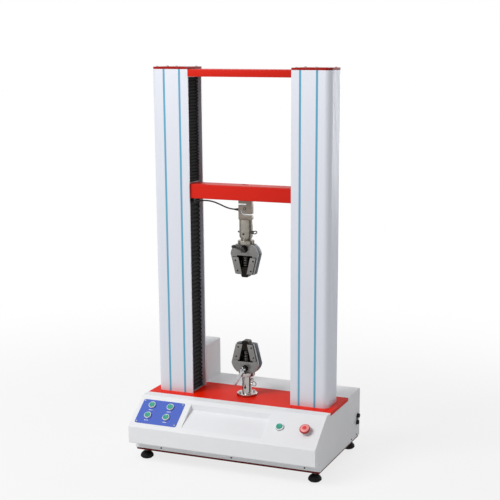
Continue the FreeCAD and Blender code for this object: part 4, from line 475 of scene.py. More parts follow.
surface = add_node(tree, "ShaderNodeMixShader", {0: share.outputs[0], 1: matt.outputs["BSDF"],
                                                 2: white.outputs["Emission"]})
add_node(tree, "ShaderNodeOutputMaterial", {"Surface": surface.outputs["Shader"]})
floor.data.materials.append(floor_paint)
print("floor:", FLOOR_SIZE, "m, white share near the machine", FLOOR_NEAR)

# %% [markdown]
# ## Lamps
# The brightest face of the real machine is the slope of its base, then its upright fronts, and its
# right side is about half as bright. So one large soft box stands high in front and to the left,
# and the white room fills the rest. A weak box behind lights the back for the other views.

# %% Lamps
def soft_box(name, place, aim, width, height, power):
    """A rectangular area lamp that looks at a point."""
    lamp_data = bpy.data.lights.new(name, "AREA")
    lamp_data.shape = "RECTANGLE"
    lamp_data.size = width
    lamp_data.size_y = height
    lamp_data.energy = power
    lamp = bpy.data.objects.new(name, lamp_data)
    lamp.location = place
    lamp.rotation_euler = (Vector(aim) - Vector(place)).to_track_quat("-Z", "Y").to_euler()
    bpy.context.scene.collection.objects.link(lamp)
    return lamp


MACHINE_MIDDLE = (0, 0, 0.7)
soft_box("key_box", (-1.9, -2.9, 3.6), MACHINE_MIDDLE, 2.4, 2.0, 150)
soft_box("rear_box", (0.6, 3.5, 1.5), MACHINE_MIDDLE, 2.0, 2.0, 36)
# %% [markdown]
# ## Modelling helpers
# Every fine piece starts as a Blender primitive at its real size and place, in millimetres on the
# machine, and is shaped in edit mode. Parts that are turned on a lathe start as a disc, which is
# pushed up and widened or narrowed step by step. Faces, edges and points are chosen by where they
# are. The finished piece rides on the body that carries the real one.

# %% Modelling helpers
def started(name, primitive, **settings):
    """Adds a primitive on its own, with its place, turn and size put into its mesh."""
    if bpy.context.mode != "OBJECT":
        bpy.ops.object.mode_set(mode="OBJECT")
    bpy.ops.object.select_all(action="DESELECT")
    primitive(**settings)
    piece = bpy.context.active_object
    piece.name = name
    bpy.ops.object.transform_apply(location=True, rotation=True, scale=True)
    return piece


def block(name, low, high):
    """A box between two corners."""
    middle = [(a + b) / 2 * MM for a, b in zip(low, high)]
    return started(name, bpy.ops.mesh.primitive_cube_add, size=1, location=middle,
                   scale=[(b - a) * MM for a, b in zip(low, high)])


def chosen(piece, kind, test):
    """Opens a piece in edit mode with just the elements chosen whose middle, in mm, fits."""
    if bpy.context.mode != "OBJECT":
        bpy.ops.object.mode_set(mode="OBJECT")
    bpy.ops.object.select_all(action="DESELECT")
    piece.select_set(True)
    bpy.context.view_layer.objects.active = piece
    bpy.ops.object.mode_set(mode="EDIT")
    bpy.ops.mesh.select_mode(type=kind)
    bpy.ops.mesh.select_all(action="DESELECT")
    mesh = bmesh.from_edit_mesh(piece.data)
    elements = {"VERT": mesh.verts, "EDGE": mesh.edges, "FACE": mesh.faces}[kind]
    count = 0
    for element in elements:
        if kind == "VERT":
            middle = element.co
        elif kind == "EDGE":
            middle = (element.verts[0].co + element.verts[1].co) / 2
        else:
            middle = element.calc_center_median()
        if test(middle / MM, element):
            element.select_set(True)
            count += 1
    if kind == "VERT":
        mesh.select_flush(True)
    bmesh.update_edit_mesh(piece.data)
    return count


def turned(name, outline, place=(0, 0, 0), sides=48):
    """A lathe piece about Z from (radius, height) steps, each pushed up from the one before."""
    radius, height = outline[0]
    x, y, z = [c * MM for c in place]
    piece = started(name, bpy.ops.mesh.primitive_circle_add, vertices=sides, radius=radius * MM,
                    fill_type="NGON", location=(x, y, z + height * MM))
    chosen(piece, "FACE", lambda middle, face: True)
    for next_radius, next_height in outline[1:]:
        bpy.ops.mesh.extrude_region_move(
            TRANSFORM_OT_translate={"value": (0, 0, (next_height - height) * MM)})
        growth = next_radius / radius
        bpy.ops.transform.resize(value=(growth, growth, 1), center_override=(x, y, 0))
        radius, height = next_radius, next_height
    bpy.ops.object.mode_set(mode="OBJECT")
    return piece


def placed(piece, turn=(0, 0, 0), shift=(0, 0, 0)):
    """Turns a piece about the origin, in degrees, then moves it, and keeps both in its mesh."""
    if bpy.context.mode != "OBJECT":
        bpy.ops.object.mode_set(mode="OBJECT")
    bpy.ops.object.select_all(action="DESELECT")
    piece.select_set(True)
    bpy.context.view_layer.objects.active = piece
    piece.rotation_euler = [math.radians(angle) for angle in turn]
    piece.location = [c * MM for c in shift]
    bpy.ops.object.transform_apply(location=True, rotation=True, scale=True)
    return piece


def copied(piece, name, turn=(0, 0, 0), shift=(0, 0, 0)):
    """A copy with a mesh of its own, turned about the origin and moved."""
    twin = piece.copy()
    twin.data = piece.data.copy()
    twin.name = name
    bpy.context.scene.collection.objects.link(twin)
    return placed(twin, turn, shift)


def joined(name, parts):
    """Several parts made one piece, each keeping its own finish."""
    if bpy.context.mode != "OBJECT":
        bpy.ops.object.mode_set(mode="OBJECT")
    bpy.ops.object.select_all(action="DESELECT")
    for part in parts:
        part.select_set(True)
    bpy.context.view_layer.objects.active = parts[0]
    if len(parts) > 1:
        bpy.ops.object.join()
    parts[0].name = name
    return parts[0]


def rounded_edges(piece, width, segments, test):
    """Bevels the edges that the test chooses."""
    chosen(piece, "EDGE", test)
    bpy.ops.mesh.bevel(offset=width * MM, segments=segments, affect="EDGES")
    bpy.ops.object.mode_set(mode="OBJECT")
    return piece


def coated(piece, finish):
    """Gives a whole part one finish."""
    piece.data.materials.clear()
    piece.data.materials.append(finish)
    return piece


def finished_piece(piece, body, crease=32):
    """Turns the normals outward, smooths all but the sharp edges and lets the piece ride."""
    chosen(piece, "FACE", lambda middle, face: True)
    bpy.ops.mesh.normals_make_consistent(inside=False)
    bpy.ops.object.mode_set(mode="OBJECT")
    bpy.ops.object.shade_smooth_by_angle(angle=math.radians(crease))
    if body:
        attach(piece, body)
    return piece


print("modelling helpers ready")

# %% [markdown]
# ## Load cell cable
# The cell's signal cable is 5.4 mm thick and 168 mm long. It leaves the gland on the cell's left
# side straight, bows up under its own stiffness and ends in a clip under the crosshead, so both
# ends move with the crosshead. A NURBS spline of order 3 through its route has that smooth bow. A
# rubber boot tapers from the gland to the cable, which keeps the real one from kinking there.

# %% Load cell cable
CABLE_ROUTE = [(-0.033, 0, 0.947), (-0.052, 0, 0.947), (-0.076, -0.003, 0.952),
               (-0.101, -0.009, 0.964), (-0.125, -0.017, 0.9745), (-0.151, -0.0275, 0.9785),
               (-0.173, -0.035, 0.977), (-0.191, -0.035, 0.977)]
CABLE_RADIUS = 0.0027
cable_line = bpy.data.curves.new("load_cell_lead", "CURVE")
cable_line.dimensions = "3D"
cable_line.bevel_depth = CABLE_RADIUS
cable_line.bevel_resolution = 5
cable_line.resolution_u = 16
cable_line.use_fill_caps = True
spline = cable_line.splines.new("NURBS")
spline.points.add(len(CABLE_ROUTE) - 1)
for point, place in zip(spline.points, CABLE_ROUTE):
    point.co = (*place, 1)
spline.order_u = 3
spline.use_endpoint_u = True
cable_line.materials.append(cable_sleeve)
cable = bpy.data.objects.new("load_cell_lead", cable_line)
bpy.context.scene.collection.objects.link(cable)
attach(cable, "crosshead")
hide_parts("load_cell_cable")

boot = turned("cable_boot", [(4.6, 0), (4.6, 3), (4.0, 4), (3.9, 6), (3.5, 7), (3.5, 9),
                             (3.15, 10), (3.1, 12), (2.85, 13)], sides=32)
placed(boot, turn=(0, -90, 0), shift=(-33, 0, 947))
coated(boot, black_rubber)
finished_piece(boot, "crosshead")
print("cable in mm:", 168.5, "points:", len(CABLE_ROUTE))

# %% [markdown]
# ## Bellows
# Each column's open side is closed by a pleated sleeve of coated cloth, glued over thin stiffening
# frames, so its crests are straight and hard and its valleys fall in. One pleat is modelled as a
# rounded ring, its two rims drawn in and the ends of its crest let down a little, and an Array
# repeats it. The lower sleeve is stretched and the upper one pushed together, so their pitch
# differs.

# %% Bellows
def pleated_sleeve(name, low, high, count):
    """A sleeve of pleats beside each column's opening, from one height to another."""
    pitch = (high - low) / count
    inner, outer, half = 210, 228, 52.5
    fold = block(name, (inner, -half, low), (outer, half, low + pitch))
    chosen(fold, "FACE", lambda middle, face: abs(face.normal.z) > 0.9)
    bpy.ops.mesh.delete(type="FACE")
    bpy.ops.object.mode_set(mode="OBJECT")
    rounded_edges(fold, 5, 3, lambda middle, edge: abs(middle.z - low - pitch / 2) < 0.1)
    for plane_y in (-36, -18, 0, 18, 36):
        chosen(fold, "FACE", lambda middle, face: True)
        bpy.ops.mesh.bisect(plane_co=(0, plane_y * MM, 0), plane_no=(0, 1, 0))
    for share in (0.44, 0.56):
        chosen(fold, "FACE", lambda middle, face: True)
        bpy.ops.mesh.bisect(plane_co=(0, 0, (low + share * pitch) * MM), plane_no=(0, 0, 1))
    chosen(fold, "VERT", lambda place, point: abs(place.z - low - pitch / 2) > 0.4 * pitch)
    bpy.ops.transform.resize(value=(0.42, 0.93, 1),
                             center_override=((inner + outer) / 2 * MM, 0, 0))
    crest = 0.1 * pitch
    for reach, drop in ((30, 0.05), (47, 0.13)):
        chosen(fold, "VERT", lambda place, point:
               abs(place.y) > reach and abs(place.z - low - pitch / 2) < 4 * crest)
        bpy.ops.transform.translate(value=(0, 0, -drop * pitch * MM))
    bpy.ops.object.mode_set(mode="OBJECT")
    rows = fold.modifiers.new("rows", "ARRAY")
    rows.count = count
    rows.use_relative_offset = False
    rows.use_constant_offset = True
    rows.constant_offset_displace = (0, 0, pitch * MM)
    rows.use_merge_vertices = True
    rows.merge_threshold = 0.1 * MM
    bpy.ops.object.modifier_apply(modifier="rows")
    for level in (low, high):
        chosen(fold, "EDGE", lambda middle, edge: abs(middle.z - level) < 0.05)
        bpy.ops.mesh.edge_face_add()
    bpy.ops.object.mode_set(mode="OBJECT")
    pair = fold.modifiers.new("pair", "MIRROR")
    pair.use_axis = (True, False, False)
    bpy.ops.object.modifier_apply(modifier="pair")
    coated(fold, bellows_cloth)
    return finished_piece(fold, None, crease=25)


LOWER_PLEATS, UPPER_PLEATS = 47, 33
lower_sleeve = pleated_sleeve("lower_bellows_pleats", 241, 983.8, LOWER_PLEATS)
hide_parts("lower_bellows")
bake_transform(lower_sleeve)
upper_sleeve = pleated_sleeve("upper_bellows_pleats", 1042.9, 1422.5, UPPER_PLEATS)
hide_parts("upper_bellows")
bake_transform(upper_sleeve)
print("pleats: lower", LOWER_PLEATS, "upper", UPPER_PLEATS)

# %% [markdown]
# ## Buttons on the slope
# The four panel buttons and the start button are standard 22 mm push buttons: a threaded barrel
# through the sheet, a rim clamped on top and a dished cap with a raised edge that slides in it.
# The rim is turned from its barrel's foot up, so that it stays a hollow cup. Each is modelled flat
# at the origin and then laid on the slope, which leans 36.6 degrees.

# %% Buttons on the slope
SLOPE_TOP = (-141, 238)
SLOPE_LEAN = math.degrees(math.atan2(238 - 147.5, 263 - 141))


def slope_place(across, down, out):
    """A place on the slope in mm: across from the middle, down from the fold, out of the sheet."""
    lean = math.radians(SLOPE_LEAN)
    return (across, SLOPE_TOP[0] - down * math.cos(lean) - out * math.sin(lean),
            SLOPE_TOP[1] - down * math.sin(lean) + out * math.cos(lean))


def second_finish(piece, finish, test):
    """Gives the faces that the test chooses a finish of their own."""
    piece.data.materials.append(finish)
    for face in piece.data.polygons:
        if test(face.center / MM, face):
            face.material_index = len(piece.data.materials) - 1
    return piece


def push_button(cap_radius, rim_radius):
    """The rim and the cap of one push button, flat at the origin."""
    bore = cap_radius + 0.3
    rim = turned("rim", [(bore + 1.2, -20), (bore + 1.2, 0), (rim_radius, 0), (rim_radius, 1.3),
                         (rim_radius - 0.6, 1.5), (rim_radius - 0.6, 5.6),
                         (rim_radius - 0.9, 6.4), (rim_radius - 1.5, 6.8), (bore + 0.3, 6.6),
                         (bore, 6.2), (bore, -18.5)])
    coated(rim, rim_white)
    # Its foot and flange are black, painted shade under the rim
    second_finish(rim, black_abs_and_shade, lambda middle, face: middle.z < 1.4)
    cap = turned("cap", [(cap_radius, -15), (cap_radius, 7.2), (cap_radius - 0.3, 8.0),
                         (cap_radius - 0.9, 8.4), (cap_radius - 1.6, 8.2),
                         (cap_radius - 2.6, 7.3), (cap_radius - 3.2, 7.1), (0.5, 6.9)])
    coated(cap, button_green)
    return rim, cap


rim, cap = push_button(11, 14.2)
rims = []
PANEL_BUTTONS = [(-312.5, 47), (-236, 47), (-312.5, 95), (-236, 95)]
for number, (across, down) in enumerate(PANEL_BUTTONS, start=1):
    shift = slope_place(across, down, 1.5)
    rims.append(copied(rim, "rim_%d" % number, (SLOPE_LEAN, 0, 0), shift))
    key = copied(cap, "button_cap_%d" % number, (SLOPE_LEAN, 0, 0), shift)
    finished_piece(key, "button_%d" % number)
    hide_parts("panel_button_%d" % number)
bpy.data.objects.remove(rim)
bpy.data.objects.remove(cap)
rim, start_key = push_button(12, 16)
rims.append(placed(rim, (SLOPE_LEAN, 0, 0), slope_place(213, 72, 0)))
start_key.name = "start_cap"
placed(start_key, (SLOPE_LEAN, 0, 0), slope_place(213, 72, 0))
finished_piece(start_key, "start")
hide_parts("start_button")

# The stop button's collar, a threaded ring round its stem
collar = turned("collar", [(9.4, -20), (9.4, 0), (14.5, 0), (14.5, 3.0), (13.8, 4.0), (8.6, 4.0),
                           (8.3, 3.4), (8.3, -19)])
coated(collar, bezel_grey)
rims.append(placed(collar, (SLOPE_LEAN, 0, 0), slope_place(315, 77, 0)))
rims = joined("button_rims", rims)
finished_piece(rims, "root")
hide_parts("button_bezels")

# Its mushroom head has a grooved rim. A paler band round the crown is a painted highlight, and a
# deeper red on its flank and underside is painted shade
head = turned("stop_mushroom", [
    (6.3, 18.2), (6.3, 9.3), (12.4, 9.1), (13.4, 10.5), (14, 13), (17, 13.4), (19.2, 13.9),
    (20, 14.8), (20, 17.4), (19.6, 19.2), (18.6, 20.8), (17.4, 21.6), (16.9, 21.5), (16.5, 21.9),
    (14.2, 22.6), (13.8, 22.2), (13.2, 22.3), (12.6, 22.9), (8, 23.6), (4, 24.0), (0.5, 24.1)],
    sides=64)
coated(head, stop_red)
second_finish(head, stop_highlight, lambda middle, face:
              8 < math.hypot(middle.x, middle.y) < 16.6 and middle.z > 21.5)
second_finish(head, stop_shade, lambda middle, face:
              math.hypot(middle.x, middle.y) > 17 or middle.z < 21)
placed(head, (SLOPE_LEAN, 0, 0), slope_place(315, 77, 0))
finished_piece(head, "stop_head")
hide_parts("emergency_stop_cap")
print("buttons:", len(PANEL_BUTTONS), "on the panel, one start, one stop")

# %% [markdown]
# ## Captions on the panel
# Under each button the real panel names its motion in small white print. Here each caption is a
# blank white bar, printed on the foil, so it stands only a tenth of a millimetre proud.

# %% Captions on the panel
bar = block("bar", (-8, -1.1, 1.45), (8, 1.1, 1.6))
coated(bar, foil_print)
bars = [copied(bar, "bar_%d" % number, (SLOPE_LEAN, 0, 0), slope_place(across, down + 21, 0))
        for number, (across, down) in enumerate(PANEL_BUTTONS, start=1)]
bpy.data.objects.remove(bar)
captions = joined("panel_captions", bars)
finished_piece(captions, "root")
print("caption bars:", len(PANEL_BUTTONS))

# %% [markdown]
# ## Screws
# Socket cap screws hold the top plates and the lower socket, and low button screws hold the panel,
# the skirt and the sides. One of each is modelled: a disc pushed up into a head with a worn edge,
# its top inset to six sides and pushed down for the key. Every other screw is a copy.

# %% Screws
def socket_screw(radius, height, key_radius, shank, shank_length, edge):
    """A screw head on its shank along Z, with a six-sided socket."""
    screw = turned("screw", [(shank, -shank_length), (shank, 0), (radius, 0),
                             (radius, height - edge), (radius - edge, height)], sides=36)
    chosen(screw, "FACE", lambda middle, face:
           abs(middle.z - height) < 0.05 and face.normal.z > 0.9)
    bpy.ops.mesh.delete(type="FACE")
    bpy.ops.object.mode_set(mode="OBJECT")
    key = started("key", bpy.ops.mesh.primitive_circle_add, vertices=36, radius=key_radius * MM,
                  fill_type="NOTHING", location=(0, 0, height * MM))
    chosen(key, "VERT", lambda place, point: True)
    mesh = bmesh.from_edit_mesh(key.data)
    for point in mesh.verts:
        turn = math.atan2(point.co.y, point.co.x) % (math.pi / 3) - math.pi / 6
        flat = key_radius * MM * math.cos(math.pi / 6) / math.cos(turn)
        point.co.xy = point.co.xy.normalized() * flat
    bmesh.update_edit_mesh(key.data)
    bpy.ops.object.mode_set(mode="OBJECT")
    screw = joined("screw", [screw, key])
    chosen(screw, "EDGE", lambda middle, edge: edge.is_boundary or edge.is_wire)
    bpy.ops.mesh.bridge_edge_loops()
    chosen(screw, "EDGE", lambda middle, edge: edge.is_boundary)
    bpy.ops.mesh.edge_face_add()
    bpy.ops.mesh.extrude_region_move(TRANSFORM_OT_translate={"value": (0, 0, -0.6 * height * MM)})
    bpy.ops.object.mode_set(mode="OBJECT")
    return coated(screw, zinc_and_edge_highlight)


TOP_SCREWS = [(x, y) for side in (1, -1) for x, y in
              ((214 * side, -46), (330 * side, -42), (272 * side, 0), (214 * side, 46),
               (330 * side, 42))]
PANEL_SCREWS = [(-349, 28.5), (-191, 28.5), (-349, 124.5), (-191, 124.5)]
SKIRT_SCREWS = [-264, 25, 314]
SIDE_SCREWS = [150, 215]
cap_screw = socket_screw(4.5, 3, 2.2, 2.5, 7.5, 0.4)
low_screw = socket_screw(3, 1.6, 1.5, 1.5, 3.5, 0.5)
screws = [copied(cap_screw, "top_screw", (0, 0, 17 * number), (x, y, 1459.5))
          for number, (x, y) in enumerate(TOP_SCREWS)]
screws += [copied(cap_screw, "flange_screw", (0, 0, 10), (x, y, 250.9))
           for x in (-20.2, 20.2) for y in (-20.2, 20.2)]
screws += [copied(low_screw, "panel_screw", (SLOPE_LEAN, 0, 0), slope_place(x, down, 1.5))
           for x, down in PANEL_SCREWS]
coated(low_screw, blackened_and_shade_steel)
screws += [copied(low_screw, "skirt_screw", (90, 0, 0), (x, -210, 57)) for x in SKIRT_SCREWS]
screws += [copied(low_screw, "side_screw", (0, 90 * side, 0), (372.5 * side, y, 57))
           for side in (1, -1) for y in SIDE_SCREWS]
bpy.data.objects.remove(cap_screw)
bpy.data.objects.remove(low_screw)
screw_count = len(screws)
screws = joined("machine_screws", screws)
finished_piece(screws, "root")
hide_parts("frame_screws")
print("screws:", screw_count)
# %% [markdown]
# ## Eased edges
# Forged, milled and sawn steel never has a knife edge: the shop breaks every edge by a few tenths
# of a millimetre, and that narrow face catches the light. The grips' bodies look rounder, so they
# get 1.5 mm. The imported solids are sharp, so a welded copy of each gets a Bevel on its sharp edges
# and takes the solid's place.

# %% Eased edges
UPPER_HUB, LOWER_HUB = 804, 347
HUB_RADIUS = 12
BODY_EDGE = 13.5
RAIL_FACE = 20.1
SLIT_REACH, SLIT_DEPTH = 24, 11.9


def eased(node, name, body, finish, width, crease=35):
    """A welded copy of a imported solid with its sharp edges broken, instead of that solid."""
    if bpy.context.mode != "OBJECT":
        bpy.ops.object.mode_set(mode="OBJECT")
    source = nodes[node]
    piece = bpy.data.objects.new(name, source.data.copy())
    piece.data.transform(source.matrix_world)
    bpy.context.scene.collection.objects.link(piece)
    chosen(piece, "FACE", lambda middle, face: True)
    bpy.ops.mesh.remove_doubles(threshold=0.01 * MM)
    bpy.ops.mesh.dissolve_limited(angle_limit=math.radians(1))
    bpy.ops.mesh.customdata_custom_splitnormals_clear()
    bpy.ops.object.mode_set(mode="OBJECT")
    broken = piece.modifiers.new("broken", "BEVEL")
    broken.width = width * MM
    broken.segments = 2
    broken.limit_method = "ANGLE"
    broken.angle_limit = math.radians(40)
    broken.use_clamp_overlap = True
    bpy.ops.object.modifier_apply(modifier="broken")
    coated(piece, finish)
    finished_piece(piece, body, crease)
    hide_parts(node)
    return piece


EASED = [
    ("upper_grip_body", "crosshead", ground_steel, 1.5),
    ("lower_grip_body", "root", ground_steel, 1.5),
    ("upper_grip_rails", "crosshead", ground_steel, 0.4),
    ("lower_grip_rails", "root", ground_steel, 0.4),
    ("load_cell", "crosshead", cell_nickel, 0.4),
    ("upper_adapter", "crosshead", turned_steel, 0.5),
    ("lower_adapter", "root", hard_chrome, 0.5),
    ("upper_lock_ring", "crosshead", turned_steel, 0.6),
    ("crosshead_beam", "crosshead", red_enamel, 1.0),
    ("top_beam", "root", red_enamel, 1.0),
    ("upper_grip_lever", "upper_lever", oiled_steel, 0.6),
    ("lower_grip_lever", "lower_lever", zinc_and_edge_highlight, 0.6),
    ("upper_jaw_yoke", "upper_yoke", blackened_and_shade_steel, 0.3),
    ("lower_jaw_yoke", "lower_yoke", blackened_and_shade_steel, 0.3),
]
steels = {}
for node, body, finish, width in EASED:
    steels[node] = eased(node, node + "_eased", body, finish, width)

# The grips' faces are ground steel, mid grey. Their sides get a dark blue-grey, which is painted
# shade, and the edge between them bright zinc, which is a painted highlight
for node in ("upper_grip_body", "lower_grip_body"):
    second_finish(steels[node], side_shade_steel, lambda middle, face: abs(face.normal.y) < 0.3)
    second_finish(steels[node], zinc_and_edge_highlight, lambda middle, face:
                  0.3 <= abs(face.normal.y) < 0.95 and abs(middle.y) > BODY_EDGE)
# The rails' sides get the same painted shade
for node in ("upper_grip_rails", "lower_grip_rails"):
    second_finish(steels[node], side_shade_steel, lambda middle, face: abs(face.normal.y) < 0.3)
    second_finish(steels[node], blackened_and_shade_steel, lambda middle, face: abs(middle.y) > RAIL_FACE)
second_finish(steels["load_cell"], zinc_and_edge_highlight, lambda middle, face:
              abs(middle.x) < SLIT_REACH and abs(middle.y) < SLIT_DEPTH)
second_finish(steels["lower_grip_lever"], oiled_steel, lambda middle, face:
              math.hypot(middle.x, middle.z - LOWER_HUB) < HUB_RADIUS)
print("eased pieces:", len(EASED))

# %% [markdown]
# ## Jaw springs
# A spring pushes the jaws down their wedge until they touch the specimen. It is wound of 2.8 mm
# blued wire, a little narrower at the jaw end. A round of wire is swept by a Screw and drawn in
# step by step.

# %% Jaw springs
SPRING_TURNS = 6.5


def jaw_spring(name, fixed, moving):
    """A coil from the body's seat to the yoke's, both heights in mm."""
    wire, radius = 1.4, 12.3
    low = min(fixed, moving) + wire
    rise = abs(fixed - moving) - 2 * wire
    coil = started(name, bpy.ops.mesh.primitive_circle_add, vertices=10, radius=wire * MM,
                   fill_type="NOTHING", location=(radius * MM, 0, low * MM),
                   rotation=(math.radians(90), 0, 0))
    wound = coil.modifiers.new("wound", "SCREW")
    wound.axis = "Z"
    wound.angle = 2 * math.pi * SPRING_TURNS
    wound.screw_offset = rise * MM
    wound.steps = wound.render_steps = round(36 * SPRING_TURNS)
    bpy.ops.object.modifier_apply(modifier="wound")
    chosen(coil, "EDGE", lambda middle, edge: edge.is_boundary and middle.z < low + 2 * wire)
    bpy.ops.mesh.edge_face_add()
    chosen(coil, "EDGE", lambda middle, edge: edge.is_boundary)
    bpy.ops.mesh.edge_face_add()
    for share in (0, 0.25, 0.5, 0.75):
        bound = fixed + (moving - fixed) * (0.2 + share)
        chosen(coil, "VERT", lambda place, point:
               (place.z - bound) * (moving - fixed) > 0)
        bpy.ops.transform.resize(value=(0.985, 0.985, 1), center_override=(0, 0, 0))
    bpy.ops.object.mode_set(mode="OBJECT")
    coated(coil, spring_wire)
    return finished_piece(coil, None, crease=60)


upper_coil = jaw_spring("upper_jaw_coil", 778.8, 735.0)
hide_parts("upper_jaw_spring")
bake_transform(upper_coil)
lower_coil = jaw_spring("lower_jaw_coil", 372.2, 416.0)
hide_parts("lower_jaw_spring")
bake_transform(lower_coil)
print("spring turns:", SPRING_TURNS)

# %% [markdown]
# ## Levelling feet
# Each foot is a rubber pad moulded round a threaded M10 stud, with a lock nut under the tray. The
# pad is turned with a ground-in sole, a ribbed grip band and a dome, and every other face of the
# band is drawn in to make the ribs. The thread is a row of rings, 1.5 mm apart, because its turns
# are too fine here for anyone to see which way they climb.

# %% Levelling feet
FEET = {"front_left": (-342, -178), "front_right": (342, -178), "rear_left": (-342, 206),
        "rear_right": (342, 206)}
pad = turned("pad", [(17.5, 0), (19, 0.6), (21.5, 3.2), (24.4, 5.4), (24.9, 6.4), (24.9, 11),
                     (24.5, 12.4), (22.6, 16.5), (19.6, 20.4), (15.6, 23.9), (11.6, 26.4),
                     (9.4, 27.6), (8.8, 28)], sides=72)
chosen(pad, "FACE", lambda middle, face: 6.6 < middle.z < 10.8 and
       round(math.degrees(math.atan2(middle.y, middle.x)) / 5 - 0.5) % 2 == 0)
bpy.ops.mesh.inset(thickness=0.35 * MM, use_individual=True)
bpy.ops.transform.resize(value=(0.975, 0.975, 1), center_override=(0, 0, 0))
bpy.ops.object.mode_set(mode="OBJECT")
coated(pad, black_rubber)
thread = [(4.4, 27.5)]
for turn in range(22):
    base = 28 + 1.5 * turn
    thread += [(4.9, base + 0.5), (4.9, base + 0.7), (4.4, base + 1.2)]
thread += [(4.2, 61.6), (3.6, 62)]
stud = coated(turned("stud", thread, sides=24), zinc_and_edge_highlight)
nut = started("nut", bpy.ops.mesh.primitive_cylinder_add, vertices=6, radius=8.9 * MM,
              depth=7 * MM, location=(0, 0, 35.5 * MM), rotation=(0, 0, math.radians(12)))
rounded_edges(nut, 0.7, 2, lambda middle, edge: abs(abs(middle.z - 35.5) - 3.5) < 0.1)
coated(nut, zinc_and_edge_highlight)
foot = joined("foot", [pad, stud, nut])
for name, (x, y) in FEET.items():
    piece = copied(foot, "foot_%s_detail" % name, (0, 0, 0), (x, y, 0))
    finished_piece(piece, "foot_%s_body" % name)
    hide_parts("foot_" + name)
bpy.data.objects.remove(foot)
print("feet:", len(FEET))
# %% [markdown]
# ## Throats of the grips
# In the photograph no light comes through the throats, but what closes them can't be made out. A
# blackened cage on the yoke, with a tube inside the spring, a cheek along either side of the wedge
# and a thin back plate, and a fixed liner under the roof stand for it, so this is a guess. Their
# black is painted shade that fills the throats. The tube and the liner's sleeve slide into each
# other, so the spring can shorten. The tubes are drawn up from a ring, and the cheeks are boxes
# whose outer side is leaned out.

# %% Throats of the grips
WEDGE_FOOT, WEDGE_HALF = 709, 15
WEDGE_SLOPE = math.tan(math.radians(13))
CAGE_LOW, CAGE_HIGH = 734.8, 758
LINER_LOW, LINER_HIGH = 755.8, 779
# A height in the lower grip is this sum less the height of the same spot in the upper one
GRIP_HEIGHTS = 1151


def tube(name, inner, outer, low, high, sides=48):
    """A plain tube about Z, drawn out, up, in and down from a ring of points."""
    piece = started(name, bpy.ops.mesh.primitive_circle_add, vertices=sides, radius=inner * MM,
                    fill_type="NOTHING", location=(0, 0, low * MM))
    chosen(piece, "EDGE", lambda middle, edge: True)
    for growth, rise in ((outer / inner, 0), (1, high - low), (inner / outer, 0), (1, low - high)):
        bpy.ops.mesh.extrude_region_move(TRANSFORM_OT_translate={"value": (0, 0, rise * MM)})
        bpy.ops.transform.resize(value=(growth, growth, 1), center_override=(0, 0, 0))
    bpy.ops.mesh.select_all(action="SELECT")
    bpy.ops.mesh.remove_doubles(threshold=0.01 * MM)
    bpy.ops.object.mode_set(mode="OBJECT")
    return piece


def cheeks(name, inner, gap, low, high, front, back):
    """Two blocks whose outer sides follow the wedge, at a gap from it."""
    outer = WEDGE_HALF + (low - WEDGE_FOOT) * WEDGE_SLOPE - gap
    piece = block(name, (inner, front, low), (outer, back, high))
    chosen(piece, "VERT", lambda place, point: place.x > inner + 1 and place.z > high - 1)
    bpy.ops.transform.translate(value=((high - low) * WEDGE_SLOPE * MM, 0, 0))
    bpy.ops.object.mode_set(mode="OBJECT")
    rounded_edges(piece, 0.4, 2, lambda middle, edge: True)
    pair = piece.modifiers.new("pair", "MIRROR")
    pair.use_axis = (True, False, False)
    bpy.ops.object.modifier_apply(modifier="pair")
    return piece


cage = joined("upper_jaw_cage", [
    tube("cage_tube", 4.1, 8.3, CAGE_LOW, CAGE_HIGH),
    cheeks("cage_cheeks", 14.6, 1.5, CAGE_LOW, CAGE_HIGH, -9.8, 9.8),
    block("cage_back", (-16, 13.9, CAGE_LOW), (16, 14.6, CAGE_HIGH))])
liner = joined("upper_throat_liner", [
    tube("liner_sleeve", 8.7, 9.9, LINER_LOW, LINER_HIGH),
    cheeks("liner_backs", 16.5, 0.2, LINER_LOW, LINER_HIGH, 10.2, 15.6),
    block("liner_back", (-16.4, 14.8, LINER_LOW), (16.4, 15.6, LINER_HIGH))])
for piece, upper_body, lower_body in ((cage, "upper_yoke", "lower_yoke"),
                                      (liner, "crosshead", "root")):
    # Their black finish is painted shade in the throats
    coated(piece, blackened_and_shade_steel)
    lower = copied(piece, piece.name.replace("upper", "lower"), (0, 180, 0), (0, 0, GRIP_HEIGHTS))
    finished_piece(piece, upper_body)
    finished_piece(lower, lower_body)
print("throats filled: 2")

# %% [markdown]
# ## Dark shims, rings and discs of painted shade
# A dark line runs round every guide rail in the photograph, made here as a thin black shim under
# the rail, which is painted shade. The dark round under each hub is painted shade as a black ring,
# the dark spot in each hub's middle is painted shade as a black disc for its hole, and a black bush
# of painted shade rings each sight hole, which stays open. The shims are copies of the rails,
# pressed flat, and the rest is turned.

